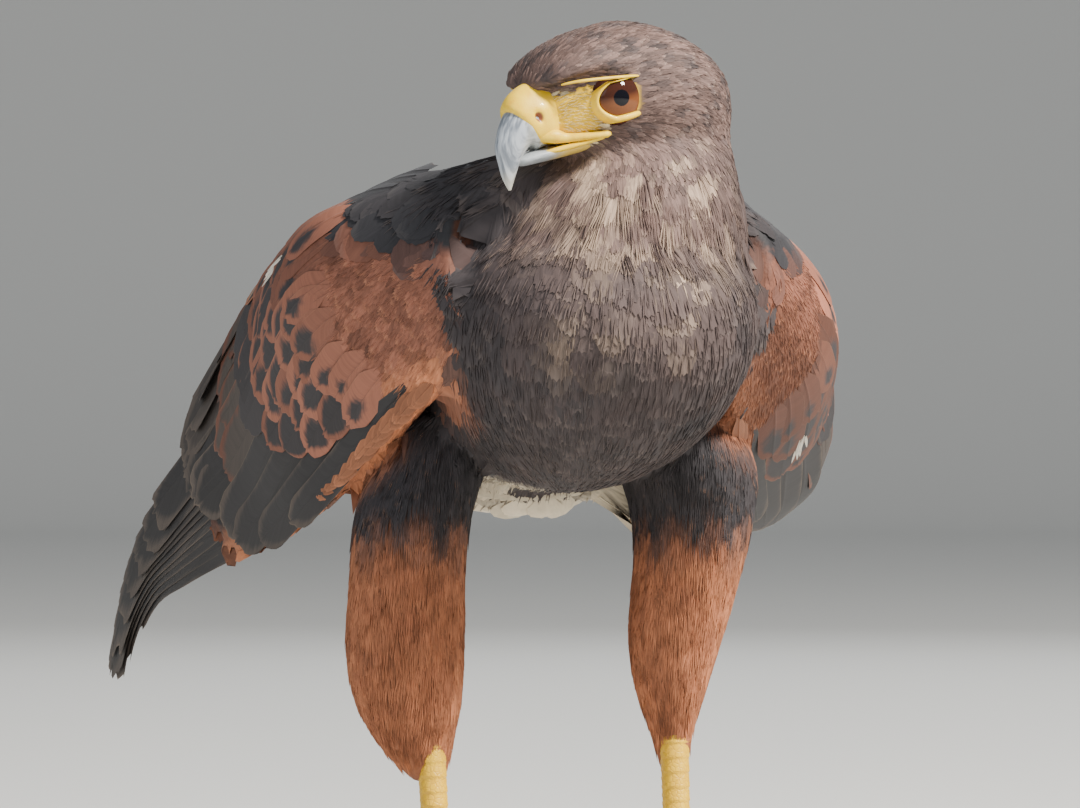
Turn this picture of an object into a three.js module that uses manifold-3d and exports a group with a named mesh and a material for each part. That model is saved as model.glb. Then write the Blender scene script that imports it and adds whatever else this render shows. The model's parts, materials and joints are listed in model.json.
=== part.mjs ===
import * as THREE from 'three';
import Module from 'manifold-3d';

const wasm = await Module();
wasm.setup();

// All sizes are in millimetres. The bird faces -Y, +Z is up and its right side is -X.
const GAP = 0.3;
const FLOOR = 0;

// Rows of the trunk, front to back: y, centre z, half width, height above, depth below
const TRUNK = [
  [-91, 203, 14, 10, 12],
  [-85, 204, 29, 20, 25],
  [-70, 205, 43, 31, 42],
  [-48, 205, 51, 39, 52],
  [-20, 203, 52, 45, 55],
  [10, 201, 50, 47, 54],
  [45, 197, 46, 40, 49],
  [75, 190, 40, 31, 39],
  [100, 184, 32, 22, 28],
  [118, 179, 22, 14, 16],
  [129, 176, 12, 7, 9],
];

// Rows of the neck, bottom to top: z, centre x, centre y, half width, reach forward, reach back
const NECK = [
  [190, 1, -42, 34, 38, 24],
  [208, 2, -46, 42, 41, 32],
  [224, 4, -49, 42, 37, 36],
  [238, 7, -51, 38, 32, 34],
  [250, 11, -51, 32, 26, 30],
  [260, 14, -50, 27, 20, 27],
  [268, 14, -49, 20, 14, 20],
];

// The head turns to the bird's right and its bill dips
const HEAD_AT = [-10.5, -60, 268.5];
const HEAD_TURN = 67;
const HEAD_DIP = 15;

// Rows of the head, bill side first: forward, centre height, half width, height above, depth below
const SKULL = [
  [19, -1.5, 5.5, 6.5, 7],
  [15, -1, 9.5, 9.5, 11],
  [8, 0, 15, 14, 15],
  [0, 0, 19, 19, 19.5],
  [-10, 0, 23.5, 22.5, 24],
  [-22, -1, 26, 22, 27],
  [-33, -3, 24, 18, 27],
  [-41, -6, 17, 12, 21],
  [-45.5, -8, 8, 6, 10],
];

// Eyeball centre in the head's own axes: forward, sideways, up
const EYE_AT = [-0.5, 13, 0.3];
const EYE_RADIUS = 8.6;

// Rows of the cere: forward, centre height, half width, height above, depth below
const CERE = [
  [11, -1.2, 8.2, 8.6, 9],
  [16, -1.3, 8.3, 9.2, 8.8],
  [21, -1.8, 7.4, 8.8, 7.9],
  [26, -2.3, 6.6, 7.7, 7.4],
];

// Rows of the upper bill along its curve: forward, height, half width, half depth
const UPPER_BILL = [
  [24.2, -2.0, 6.5, 7.2],
  [27.2, -3.1, 6.0, 6.7],
  [29.6, -5.4, 5.2, 5.9],
  [31.4, -8.6, 4.2, 4.9],
  [32.5, -12.4, 3.1, 3.6],
  [32.7, -16.6, 1.9, 2.2],
  [32.2, -21.0, 0.6, 0.7],
];

// Rows of the lower bill: forward, centre height, half width, height above, depth below
const LOWER_BILL = [
  [5, -12.2, 8, 0.8, 2.4],
  [14, -11.9, 7.2, 1.4, 2.6],
  [22, -11.6, 5.4, 1.5, 2.6],
  [27, -11.9, 3.4, 1.1, 2],
  [29, -12.2, 1.4, 0.6, 0.9],
];

// Rows of each feathered thigh; the left one is seen end on and is slimmer: z, outward x, y, half width, reach forward, reach back
const RIGHT_THIGH = [
  [58, 41, 12, 6.5, 7, 8],
  [64, 42.3, 13, 11, 9.5, 13],
  [76, 45.3, 14, 16.5, 14.5, 19],
  [90, 47, 14, 19.8, 18.5, 23],
  [106, 47.5, 13, 20.3, 21, 26],
  [124, 47, 12, 19.5, 24, 29],
  [142, 47, 11, 21, 27, 33],
  [158, 44, 10, 23, 30, 36],
  [174, 40, 10, 20, 26, 30],
];
const LEFT_THIGH = [
  [58, 40.8, 12.5, 6, 6.5, 7.5],
  [64, 40.6, 13, 7, 9, 11.5],
  [76, 40, 14, 9.5, 13, 16],
  [90, 40.2, 14, 13.8, 17, 21],
  [106, 42, 13.5, 16.8, 20.5, 25],
  [124, 45, 12, 18.3, 24, 29],
  [142, 46.5, 11, 20.5, 27, 33],
  [158, 44, 10, 23, 30, 36],
  [174, 40, 10, 20, 26, 30],
];

// Rows of a tarsus: z, outward x, y, half width, half depth
const TARSUS = [
  [9, 39.5, 3, 6.2, 6.4],
  [16, 39.5, 3.4, 5.2, 5.8],
  [28, 39.5, 4.6, 4.3, 5.0],
  [48, 39.6, 7.4, 4.2, 5.1],
  [68, 40.0, 10.6, 4.5, 5.6],
  [84, 40.6, 13.4, 5.2, 6.8],
  [96, 41, 16, 5.4, 7],
];

// Each toe: turn away from straight ahead (inward is negative), length, girth, claw length
const TOES = [
  ['inner', -34, 31, 4.9, 25],
  ['middle', 6, 47, 4.6, 21],
  ['outer', 46, 37, 4.3, 18],
  ['hind', 188, 25, 5.0, 28],
];

// Sections of each folded wing, front to tip, each from the lower edge to the upper one:
// outward x, y, z. The right wing first; the left one is held further out and hangs lower
const RIGHT_WING = [
  [[44, -54, 190], [50.5, -57, 205], [53, -56, 221], [49, -50, 238], [35, -41, 250]],
  [[49, 5, 172], [72, 0, 190], [83, 0, 212], [75, 0, 236], [46, 0, 252]],
  [[64, 58, 145], [80, 56, 168], [87, 56, 195], [80, 56, 222], [48, 56, 241]],
  [[74, 95, 130], [83, 96, 152], [88, 97, 176], [84, 98, 202], [58, 98, 223]],
  [[84, 132, 120], [90, 134, 137], [93, 135, 155], [91, 136, 175], [76, 136, 194]],
  [[93, 168, 113], [96, 170, 124], [98, 171, 136], [98, 172, 149], [93, 172, 160]],
  [[98, 202, 106], [100, 203, 113], [101, 203, 121], [101, 204, 129], [99, 204, 137]],
  [[99, 238, 91], [101, 238, 96], [102, 238, 101], [102, 238, 106], [101, 238, 111]],
  [[99, 272, 72], [100, 272, 74], [101, 272, 76], [101, 270, 79], [101, 268, 82]],
];
const LEFT_WING = [
  [[44, -52, 186], [51, -54, 203], [56, -52, 220], [52, -46, 235], [37, -38, 247]],
  [[58, 5, 158], [82, 0, 180], [89, 0, 204], [77, 0, 229], [46, 0, 247]],
  [[79, 58, 141], [100, 56, 163], [107, 56, 189], [96, 56, 217], [56, 56, 238]],
  [[93, 95, 134], [114, 96, 150], [119, 97, 170], [111, 98, 196], [70, 98, 219]],
  [[106, 132, 132], [116, 134, 140], [120, 135, 153], [117, 136, 172], [92, 136, 190]],
  [[107, 168, 120], [112, 170, 129], [115, 171, 140], [114, 172, 152], [104, 172, 163]],
  [[109, 202, 109], [112, 203, 116], [113, 203, 124], [113, 204, 132], [110, 204, 140]],
  [[110, 238, 94], [112, 238, 99], [113, 238, 104], [113, 238, 109], [112, 238, 114]],
  [[109, 272, 75], [110, 272, 77], [111, 272, 79], [111, 270, 82], [110, 268, 85]],
];
// How far back each of those sections lies
const WING_BACK = [-56, 5, 58, 95, 132, 168, 202, 238, 272];
// Thickness of the wing's flesh at those sections, as far as it reaches
const WING_THICK = [14, 21, 18, 9, 3];

// Rows of wing coverts: count, y of the roots, y of the tips, lowest and highest place, width
const COVERT_ROWS = [
  [4, -38, -10, 0.15, 0.8, 23],
  [5, -22, 9, 0.1, 0.88, 22],
  [6, -2, 33, 0.13, 0.9, 21],
  [6, 14, 54, 0.1, 0.88, 22],
  [6, 34, 78, 0.16, 0.9, 23],
];
// Longer wing feathers, upper to lower: place across at root and tip, y of root and tip, width
const SECONDARIES = [
  [0.96, 0.95, 56, 112, 27],
  [0.85, 0.86, 54, 127, 28],
  [0.73, 0.74, 52, 136, 28],
  [0.61, 0.62, 52, 140, 27],
  [0.49, 0.5, 52, 139, 25],
  [0.38, 0.4, 52, 136, 23],
  [0.29, 0.32, 52, 130, 21],
];
const PRIMARIES = [
  [0.5, 0.6, 78, 172, 21],
  [0.42, 0.58, 76, 194, 21],
  [0.35, 0.6, 74, 217, 20],
  [0.28, 0.6, 72, 240, 19],
  [0.22, 0.56, 70, 260, 18],
  [0.17, 0.5, 68, 272, 16],
  [0.13, 0.36, 66, 266, 15],
  [0.09, 0.2, 64, 238, 13],
];
// Coverts of the hand and the small thumb feathers along the lower edge
const HAND_COVERTS = [
  [0.3, 0.32, 30, 92, 17],
  [0.22, 0.24, 30, 100, 16],
  [0.14, 0.16, 28, 104, 15],
  [0.08, 0.1, -2, 52, 13],
  [0.07, 0.07, -22, 26, 12],
];
// Shoulder feathers over the back: place across at root and tip, y of root and tip, width
const SCAPULARS = [
  [1, 0.92, -20, 26, 24],
  [1, 0.94, 4, 52, 24],
  [1, 0.96, 28, 78, 23],
  [1, 0.98, 50, 100, 20],
];
// Width of a vane along its length, root to tip, as shares of its full width
const ROUND_VANE = [[0.7], [0.95], [1], [0.86], [0.4]];
const LONG_VANE = [[0.6], [0.85], [0.98], [1], [0.97], [0.8], [0.34]];
const VANE_THICK = 0.6;
const FLAT = [-1, 1];
const RIDGED = [-1, 0, 1];

// Tail: root and tip of its middle line, half widths there
const TAIL_ROOT = [0, 104, 180];
const TAIL_TIP = [0, 312, 150];
const TAIL_HALF = [17, 31];
const TAIL_FEATHERS = 12;

const COLOURS = {
  plumage: ['#3b3029', 0.85],
  head_plumage: ['#40342c', 0.85],
  rust: ['#8a4a2a', 0.85],
  wing: ['#4a3429', 0.8],
  tail: ['#2c2622', 0.75],
  cream: ['#e2d9c4', 0.85],
  yellow_skin: ['#e3b13a', 0.5],
  horn: ['#6f7a86', 0.35],
  claw: ['#23211f', 0.3],
  eye: ['#3a1a10', 0.08],
};

// Value of a list of rows at t from 0 to 1, along a smooth curve through them
function blend(rows, t) {
  const last = rows.length - 1;
  const s = Math.min(Math.max(t, 0), 1) * last;
  const i = Math.min(Math.floor(s), last - 1);
  const f = s - i;
  const at = (k) => rows[Math.min(Math.max(k, 0), last)];
  return rows[0].map((_, c) => {
    const [a, b, d, e] = [at(i - 1)[c], at(i)[c], at(i + 1)[c], at(i + 2)[c]];
    return b + 0.5 * f * (d - a + f * (2 * a - 5 * b + 4 * d - e + f * (3 * (b - d) + e - a)));
  });
}

// Closed body from points and triangles, turned outward
function solidOf(points, faces) {
  let volume = 0;
  for (const [a, b, c] of faces) {
    volume += points[a].dot(points[b].clone().cross(points[c]));
  }
  const flat = new Float32Array(points.length * 3);
  points.forEach((p, i) => p.toArray(flat, i * 3));
  const order = volume < 0 ? [0, 2, 1] : [0, 1, 2];
  const tris = new Uint32Array(faces.flatMap((f) => order.map((k) => f[k])));
  return new wasm.Manifold(new wasm.Mesh({ numProp: 3, vertProperties: flat, triVerts: tris }));
}

// Body through closed rings of points, with a fan over each end
function loft(rings) {
  const n = rings[0].length;
  const points = rings.flat();
  const faces = [];
  for (let i = 0; i + 1 < rings.length; i += 1) {
    for (let j = 0; j < n; j += 1) {
      const k = (j + 1) % n;
      faces.push([i * n + j, i * n + k, (i + 1) * n + k]);
      faces.push([i * n + j, (i + 1) * n + k, (i + 1) * n + j]);
    }
  }
  for (const first of [0, (rings.length - 1) * n]) {
    const middle = new THREE.Vector3();
    for (let j = 0; j < n; j += 1) middle.addScaledVector(points[first + j], 1 / n);
    points.push(middle);
    for (let j = 0; j < n; j += 1) {
      const k = (j + 1) % n;
      const edge = first === 0 ? [first + k, first + j] : [first + j, first + k];
      faces.push([points.length - 1, ...edge]);
    }
  }
  return solidOf(points, faces);
}

// Oval ring in a plane: a across, up one way and down the other
function oval(centre, across, rise, half, up, down, count) {
  const ring = [];
  for (let j = 0; j < count; j += 1) {
    const angle = (2 * Math.PI * j) / count;
    const s = Math.sin(angle);
    ring.push(
      centre
        .clone()
        .addScaledVector(across, half * Math.cos(angle))
        .addScaledVector(rise, s > 0 ? up * s : down * s),
    );
  }
  return ring;
}

const X = new THREE.Vector3(1, 0, 0);
const Y = new THREE.Vector3(0, 1, 0);
const Z = new THREE.Vector3(0, 0, 1);

// Place a point given in the head's own axes: forward, towards the bird's left, up
const turn = THREE.MathUtils.degToRad(HEAD_TURN);
const dip = THREE.MathUtils.degToRad(HEAD_DIP);
const faceWay = new THREE.Vector3(-Math.sin(turn), -Math.cos(turn), 0);
const leftWay = new THREE.Vector3().crossVectors(Z, faceWay);
const billWay = faceWay.clone().multiplyScalar(Math.cos(dip)).addScaledVector(Z, -Math.sin(dip));
const crownWay = new THREE.Vector3().crossVectors(billWay, leftWay);

function headPoint(forward, sideways, up) {
  return new THREE.Vector3(...HEAD_AT)
    .addScaledVector(billWay, forward)
    .addScaledVector(leftWay, sideways)
    .addScaledVector(crownWay, up);
}

function trunkBody(grow) {
  const rings = [];
  for (let i = 0; i <= 15; i += 1) {
    const [y, z, half, up, down] = blend(TRUNK, i / 15);
    const slip = grow * (i === 0 ? -1 : i === 15 ? 1 : 0);
    rings.push(oval(new THREE.Vector3(0, y + slip, z), X, Z, half + grow, up + grow, down + grow, 22));
  }
  return loft(rings);
}

function neckBody(grow) {
  const rings = [];
  for (let i = 0; i <= 8; i += 1) {
    const [z, x, y, half, front, back] = blend(NECK, i / 8);
    rings.push(oval(new THREE.Vector3(x, y, z), X, Y, half + grow, back + grow, front + grow, 20));
  }
  return loft(rings);
}

// Rings across the head's forward axis
function headRings(rows, steps, count, grow) {
  const rings = [];
  for (let i = 0; i <= steps; i += 1) {
    const [f, u, half, up, down] = blend(rows, i / steps);
    const slip = grow * (i === 0 ? -1 : i === steps ? 1 : 0) * Math.sign(rows[1][0] - rows[0][0]);
    const centre = headPoint(f + slip, 0, u);
    rings.push(oval(centre, leftWay, crownWay, half + grow, up + grow, down + grow, count));
  }
  return loft(rings);
}

// Tube along a curve in the head's own axes, with a width and a height at each row
function headTube(rows, steps, count) {
  const centre = (t) => headPoint(...blend(rows, t).slice(0, 3));
  const rings = [];
  for (let i = 0; i <= steps; i += 1) {
    const t = i / steps;
    const [, , , wide, high] = blend(rows, t);
    const along = centre(Math.min(t + 0.02, 1)).sub(centre(Math.max(t - 0.02, 0))).normalize();
    const across = new THREE.Vector3().crossVectors(along, crownWay).normalize();
    const rise = new THREE.Vector3().crossVectors(across, along).normalize();
    rings.push(oval(centre(t), across, rise, wide, high, high, count));
  }
  return loft(rings);
}

function ball(centre, radius, detail) {
  return wasm.Manifold.sphere(radius, detail).translate(centre.toArray());
}

function eyeball(side, grow) {
  const [f, s, u] = EYE_AT;
  return ball(headPoint(f, side * s, u), EYE_RADIUS + grow, 20);
}

// Rim of the lids, an oval ring lying round the opening
function lids(side) {
  const [count, sides] = [14, 5];
  const points = [];
  const faces = [];
  for (let i = 0; i < count; i += 1) {
    const angle = (2 * Math.PI * i) / count;
    for (let j = 0; j < sides; j += 1) {
      const round = (2 * Math.PI * j) / sides;
      const [f, u] = [1, 0.84].map((k) => k * (7.4 + 1.5 * Math.cos(round)));
      const forward = f * Math.cos(angle) - 0.3;
      const out = 18.3 - 0.16 * forward + 1.5 * Math.sin(round);
      points.push(headPoint(forward, side * out, u * Math.sin(angle) + 0.2));
      const [a, b] = [((i + 1) % count) * sides, (j + 1) % sides];
      faces.push([i * sides + j, a + j, a + b], [i * sides + j, a + b, i * sides + b]);
    }
  }
  return solidOf(points, faces);
}

// Ridge over the eye
function brow(side) {
  const rows = [
    [15, side * 8.5, 6.8, 1.2, 1.2],
    [9, side * 14, 8.2, 2.2, 1.8],
    [1, side * 18.6, 8.6, 2.8, 1.9],
    [-8, side * 21.5, 8.2, 2.2, 1.6],
    [-13, side * 22.2, 7.6, 1.0, 1.0],
  ];
  return headTube(rows, 5, 7);
}

function cereBody(grow) {
  return headRings(CERE, 3, 14, grow);
}

// Fleshy edge of the mouth, from the cere back to below the eye
function gape(side, grow) {
  const rows = [
    [24, side * 5.2, -9.2, 1.2 + grow, 0.9 + grow],
    [16, side * 8.6, -9.6, 1.6 + grow, 1.2 + grow],
    [9, side * 12.2, -10.0, 1.7 + grow, 1.3 + grow],
    [2, side * 15.4, -10.8, 1.4 + grow, 1.1 + grow],
  ];
  return headTube(rows, 4, 7);
}

function nostril(side) {
  const rows = [
    [21.6, side * 4.2, 1.4, 1.1, 1.6],
    [22.4, side * 8.6, 1.8, 1.3, 1.9],
  ];
  return headTube(rows, 1, 8);
}

function upperBillBody(grow) {
  const rings = [];
  const steps = 10;
  const at = (t) => blend(UPPER_BILL, t);
  for (let i = 0; i <= steps; i += 1) {
    const [f, u, half, deep] = at(i / steps);
    const ahead = at(Math.min(i / steps + 0.03, 1));
    const behind = at(Math.max(i / steps - 0.03, 0));
    const way = [ahead[0] - behind[0], ahead[1] - behind[1]];
    const size = Math.hypot(...way);
    const rise = crownWay.clone().multiplyScalar(way[0] / size).addScaledVector(billWay, -way[1] / size);
    const slip = (grow / size) * (i === 0 ? -1 : i === steps ? 1 : 0);
    const centre = headPoint(f + slip * way[0], 0, u + slip * way[1]);
    rings.push(oval(centre, leftWay, rise, half + grow, deep + grow, deep + grow, 14));
  }
  return loft(rings);
}

function lowerBillBody(grow) {
  return headRings(LOWER_BILL, 7, 12, grow);
}

function thighBody(side, grow) {
  const rings = [];
  for (let i = 0; i <= 10; i += 1) {
    const [z, x, y, half, front, back] = blend(side < 0 ? RIGHT_THIGH : LEFT_THIGH, i / 10);
    const centre = new THREE.Vector3(side * x, y, z);
    rings.push(oval(centre, X, Y, half + grow, back + grow, front + grow, 16));
  }
  return loft(rings);
}

function tarsusBody(side, grow) {
  const rings = [];
  for (let i = 0; i <= 8; i += 1) {
    const [z, x, y, half, deep] = blend(TARSUS, i / 8);
    const slip = grow * (i === 0 ? -1 : i === 8 ? 1 : 0);
    const centre = new THREE.Vector3(side * x, y, z + slip);
    rings.push(oval(centre, X, Y, half + grow, deep + grow, deep + grow, 12));
  }
  return loft(rings);
}

// Tube along points in the ground plane's own direction: distance, height, half width, half height
function groundTube(start, way, rows, steps, count, grow) {
  const across = new THREE.Vector3().crossVectors(Z, way);
  const centre = (t) => {
    const [d, h] = blend(rows, t);
    return start.clone().addScaledVector(way, d).setZ(h);
  };
  const rings = [];
  for (let i = 0; i <= steps; i += 1) {
    const t = i / steps;
    const [, , wide, high] = blend(rows, t);
    const along = centre(Math.min(t + 0.02, 1)).sub(centre(Math.max(t - 0.02, 0))).normalize();
    const rise = new THREE.Vector3().crossVectors(along, across).normalize();
    rings.push(oval(centre(t), across, rise, wide + grow, high + grow, high + grow, count));
  }
  return loft(rings);
}

function toeStart(side) {
  return new THREE.Vector3(side * 39.5, 2, 0);
}

function toeWay(side, degrees) {
  const angle = THREE.MathUtils.degToRad(degrees);
  return new THREE.Vector3(side * Math.sin(angle), -Math.cos(angle), 0);
}

// A toe with a swollen pad under each joint
function toeBody(side, [, degrees, length, girth], grow) {
  const rows = [
    [0, 8.5, girth * 1.05, girth * 1.05],
    [length * 0.22, 6.6, girth * 0.9, girth * 0.95],
    [length * 0.4, 4.6, girth * 1.02, girth * 1.02],
    [length * 0.58, 4.2, girth * 0.84, girth * 0.86],
    [length * 0.76, 3.9, girth * 0.94, girth * 0.96],
    [length * 0.9, 3.8, girth * 0.74, girth * 0.8],
    [length, 4.4, girth * 0.6, girth * 0.66],
  ];
  return groundTube(toeStart(side), toeWay(side, degrees), rows, 8, 8, grow);
}

// A claw that arches from the toe's end down to the floor
function clawBody(side, [, degrees, length, girth, reach]) {
  const rows = [
    [length - 3, 4.8, girth * 0.36, girth * 0.42],
    [length + reach * 0.12, 6.6, girth * 0.46, girth * 0.56],
    [length + reach * 0.36, 8.3, girth * 0.36, girth * 0.48],
    [length + reach * 0.58, 7.4, girth * 0.26, girth * 0.36],
    [length + reach * 0.71, 4.2, girth * 0.17, girth * 0.22],
    [length + reach * 0.77, 0.3, 0.55, 0.6],
  ];
  return groundTube(toeStart(side), toeWay(side, degrees), rows, 6, 7, 0);
}

function footBody(side, grow) {
  const pad = ball(new THREE.Vector3(side * 39.5, 2, 7.6), 8.4 + grow, 12);
  const toes = TOES.map((toe) => toeBody(side, toe, grow));
  return wasm.Manifold.union([pad, ...toes]);
}

// Everything at or above the floor
function aboveFloor(body) {
  const block = wasm.Manifold.cube([900, 900, 600], true).translate([0, 0, FLOOR + 300]);
  return body.intersect(block);
}

// Point on the folded wing: u from front to tip, v from the lower edge to the upper one
function wingPoint(side, u, v) {
  const rows = side < 0 ? RIGHT_WING : LEFT_WING;
  const section = blend(rows.map((row) => row.flat()), u);
  const five = [0, 1, 2, 3, 4].map((k) => section.slice(k * 3, k * 3 + 3));
  const [x, y, z] = blend(five, v);
  return new THREE.Vector3(side * x, y, z);
}

// Outward direction of the folded wing
function wingOut(side, u, v) {
  const e = 0.01;
  const [u0, u1] = [Math.max(u - e, 0), Math.min(u + e, 1)];
  const [v0, v1] = [Math.max(v - e, 0), Math.min(v + e, 1)];
  const along = wingPoint(side, u1, v).sub(wingPoint(side, u0, v));
  const across = wingPoint(side, u, v1).sub(wingPoint(side, u, v0));
  const out = new THREE.Vector3().crossVectors(along, across).normalize();
  return out.multiplyScalar(out.x * side > 0 || Math.abs(out.x) < 0.2 && out.z > 0 ? 1 : -1);
}

// Closed plate between two grids of points, split alike on both faces
function plate(outer, inner) {
  const [rows, cols] = [outer.length, outer[0].length];
  const points = [...outer.flat(), ...inner.flat()];
  const top = (i, j) => i * cols + j;
  const low = (i, j) => rows * cols + i * cols + j;
  const faces = [];
  const quad = (a, b, c, d) => faces.push([a, b, c], [a, c, d]);
  for (let i = 0; i + 1 < rows; i += 1) {
    for (let j = 0; j + 1 < cols; j += 1) {
      quad(top(i, j), top(i, j + 1), top(i + 1, j + 1), top(i + 1, j));
      faces.push([low(i, j), low(i + 1, j + 1), low(i, j + 1)]);
      faces.push([low(i, j), low(i + 1, j), low(i + 1, j + 1)]);
    }
    quad(top(i, 0), top(i + 1, 0), low(i + 1, 0), low(i, 0));
    quad(top(i + 1, cols - 1), top(i, cols - 1), low(i, cols - 1), low(i + 1, cols - 1));
  }
  for (let j = 0; j + 1 < cols; j += 1) {
    quad(top(0, j + 1), top(0, j), low(0, j), low(0, j + 1));
    quad(top(rows - 1, j), top(rows - 1, j + 1), low(rows - 1, j + 1), low(rows - 1, j));
  }
  return solidOf(points, faces);
}

// Place along the wing, from 0 to 1, of a distance back
function wingU(y) {
  const last = WING_BACK.length - 1;
  let i = 0;
  while (i < last - 1 && y > WING_BACK[i + 1]) i += 1;
  return (i + (y - WING_BACK[i]) / (WING_BACK[i + 1] - WING_BACK[i])) / last;
}

// The wing's flesh as one slab under the coverts, thinning backwards
function wingFlesh(side) {
  const outer = [];
  const inner = [];
  const reach = (WING_THICK.length - 1) / (WING_BACK.length - 1);
  for (let i = 0; i <= 6; i += 1) {
    const [thick] = blend(WING_THICK.map((t) => [t]), i / 6);
    outer.push([]);
    inner.push([]);
    for (let j = 0; j <= 6; j += 1) {
      const [u, v] = [(reach * i) / 6, 0.01 + (0.98 * j) / 6];
      const edge = 0.25 + 0.75 * Math.sqrt(Math.sin(Math.PI * v));
      const out = wingOut(side, u, v);
      const point = wingPoint(side, u, v).addScaledVector(out, -1.6);
      outer[i].push(point);
      inner[i].push(point.clone().addScaledVector(out, -thick * edge));
    }
  }
  return plate(outer, inner);
}

// A feather's vane on the wing. It starts sunk in by some depth and its tip lifts off;
// roll turns it so that one edge lies over the next vane, and edges says where it has points across
function wingVane(side, from, to, width, shape, { sink, lift, roll, steps, edges }) {
  const place = (t) => [0, 1].map((k) => from[k] + (to[k] - from[k]) * t);
  const outer = [];
  const inner = [];
  for (let i = 0; i <= steps; i += 1) {
    const t = i / steps;
    const out = wingOut(side, ...place(t));
    const here = wingPoint(side, ...place(t)).addScaledVector(out, (lift + sink) * t - sink);
    const ahead = wingPoint(side, ...place(Math.min(t + 0.05, 1)));
    const way = ahead.sub(wingPoint(side, ...place(Math.max(t - 0.05, 0)))).normalize();
    const across = new THREE.Vector3().crossVectors(out, way).normalize().multiplyScalar(side);
    across.addScaledVector(out, Math.tan(roll)).normalize();
    const half = 0.5 * width * blend(shape, t)[0];
    const thick = VANE_THICK * (1.25 - 0.5 * t);
    const camber = 0.07 * half;
    const row = edges.map((k) =>
      here.clone().addScaledVector(across, k * half).addScaledVector(out, -camber * Math.abs(k)),
    );
    outer.push(row);
    inner.push(row.map((p) => p.clone().addScaledVector(out, -thick)));
  }
  return plate(outer, inner);
}

// Small even spread of numbers around zero, the same on every run
function scatter(seed) {
  const s = Math.sin(seed * 12.9898) * 43758.5453;
  return s - Math.floor(s) - 0.5;
}

function wingFeathers(side) {
  const vanes = [];
  const add = (v0, v1, y0, y1, width, shape, choice) =>
    vanes.push(wingVane(side, [wingU(y0), v0], [wingU(y1), v1], width, shape, choice));
  PRIMARIES.forEach(([v0, v1, y0, y1, width], k) => {
    const choice = { sink: 4.4, lift: 0.2 - 0.95 * k, roll: 0.02, steps: 5, edges: FLAT };
    add(v0, v1, y0, y1, width, LONG_VANE, choice);
  });
  SECONDARIES.forEach(([v0, v1, y0, y1, width]) => {
    add(v0, v1, y0, y1, width, LONG_VANE, { sink: 2.9, lift: 1.1, roll: 0.13, steps: 4, edges: RIDGED });
  });
  HAND_COVERTS.forEach(([v0, v1, y0, y1, width]) => {
    add(v0, v1, y0, y1, width, ROUND_VANE, { sink: 2.6, lift: 1.8, roll: 0.13, steps: 3, edges: FLAT });
  });
  COVERT_ROWS.forEach(([count, y0, y1, low, high, width], row) => {
    for (let k = 0; k < count; k += 1) {
      const v = low + ((high - low) * k) / (count - 1);
      const slip = 3 * scatter(7 * row + k + 20 * side);
      const choice = { sink: 2.6, lift: 1.9, roll: 0.13, steps: 3, edges: FLAT };
      add(v, v, y0 + slip, y1 + slip, width, ROUND_VANE, choice);
    }
  });
  SCAPULARS.forEach(([v0, v1, y0, y1, width]) => {
    add(v0, v1, y0, y1, width, ROUND_VANE, { sink: 2.6, lift: 2.6, roll: 0.04, steps: 3, edges: RIDGED });
  });
  return vanes;
}

// One tail feather, numbered outwards from the middle on each side
function tailVane(side, number) {
  const [root, tip] = [new THREE.Vector3(...TAIL_ROOT), new THREE.Vector3(...TAIL_TIP)];
  const share = (number + 0.35) / (TAIL_FEATHERS / 2);
  const outer = [];
  const inner = [];
  for (let i = 0; i <= 5; i += 1) {
    const t = i / 5;
    const middle = root.clone().lerp(tip, t * (1 - 0.035 * share * share));
    const spread = (TAIL_HALF[0] - 7 + (TAIL_HALF[1] - TAIL_HALF[0] - 6) * t) * share;
    const half = 0.5 * (13 + 13 * Math.sin(Math.PI * Math.min(t * 0.62 + 0.05, 0.5))) * blend(LONG_VANE, t)[0];
    const row = [-1, 0, 1].map((k) => {
      const x = side * (spread + 2) + k * half;
      const arch = -0.0045 * x * x;
      const level = -(2 * number + (side > 0 ? 1 : 0)) * 0.95 * (0.35 + 0.65 * t);
      return new THREE.Vector3(x, middle.y, middle.z + arch + level);
    });
    outer.push(row);
    inner.push(row.map((p) => p.clone().setZ(p.z - 0.62)));
  }
  return plate(outer, inner);
}

// Flesh in which the tail feathers stand
function tailFlesh(grow) {
  const rings = [];
  const rows = [
    [100, 181, 15, 5, 7],
    [118, 177.5, 19, 4.5, 6.5],
    [138, 174, 18, 3, 6],
    [156, 171.5, 14, 1.5, 4],
  ];
  for (let i = 0; i <= 5; i += 1) {
    const [y, z, half, up, down] = blend(rows, i / 5);
    const slip = grow * (i === 0 ? -1 : i === 5 ? 1 : 0);
    rings.push(oval(new THREE.Vector3(0, y + slip, z), X, Z, half + grow, up + grow, down + grow, 16));
  }
  return loft(rings);
}

// Room that the whole tail takes near its root
function tailRoom() {
  const outer = [];
  const inner = [];
  const [root, tip] = [new THREE.Vector3(...TAIL_ROOT), new THREE.Vector3(...TAIL_TIP)];
  for (let i = 0; i <= 4; i += 1) {
    const middle = root.clone().lerp(tip, i / 4);
    const xs = [-34, -17, 0, 17, 34];
    outer.push(xs.map((x) => new THREE.Vector3(x, middle.y, middle.z + GAP - 0.0045 * x * x)));
    inner.push(xs.map((x) => new THREE.Vector3(x, middle.y, middle.z - 12.2 - 0.0045 * x * x)));
  }
  return plate(outer, inner).add(tailFlesh(GAP));
}

// Soft wedge of feathers above or below the root of the tail
function tailCovert(rows) {
  const rings = [];
  for (let i = 0; i <= 6; i += 1) {
    const [y, z, half, up, down] = blend(rows, i / 6);
    rings.push(oval(new THREE.Vector3(0, y, z), X, Z, half, up, down, 12));
  }
  return loft(rings);
}

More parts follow.
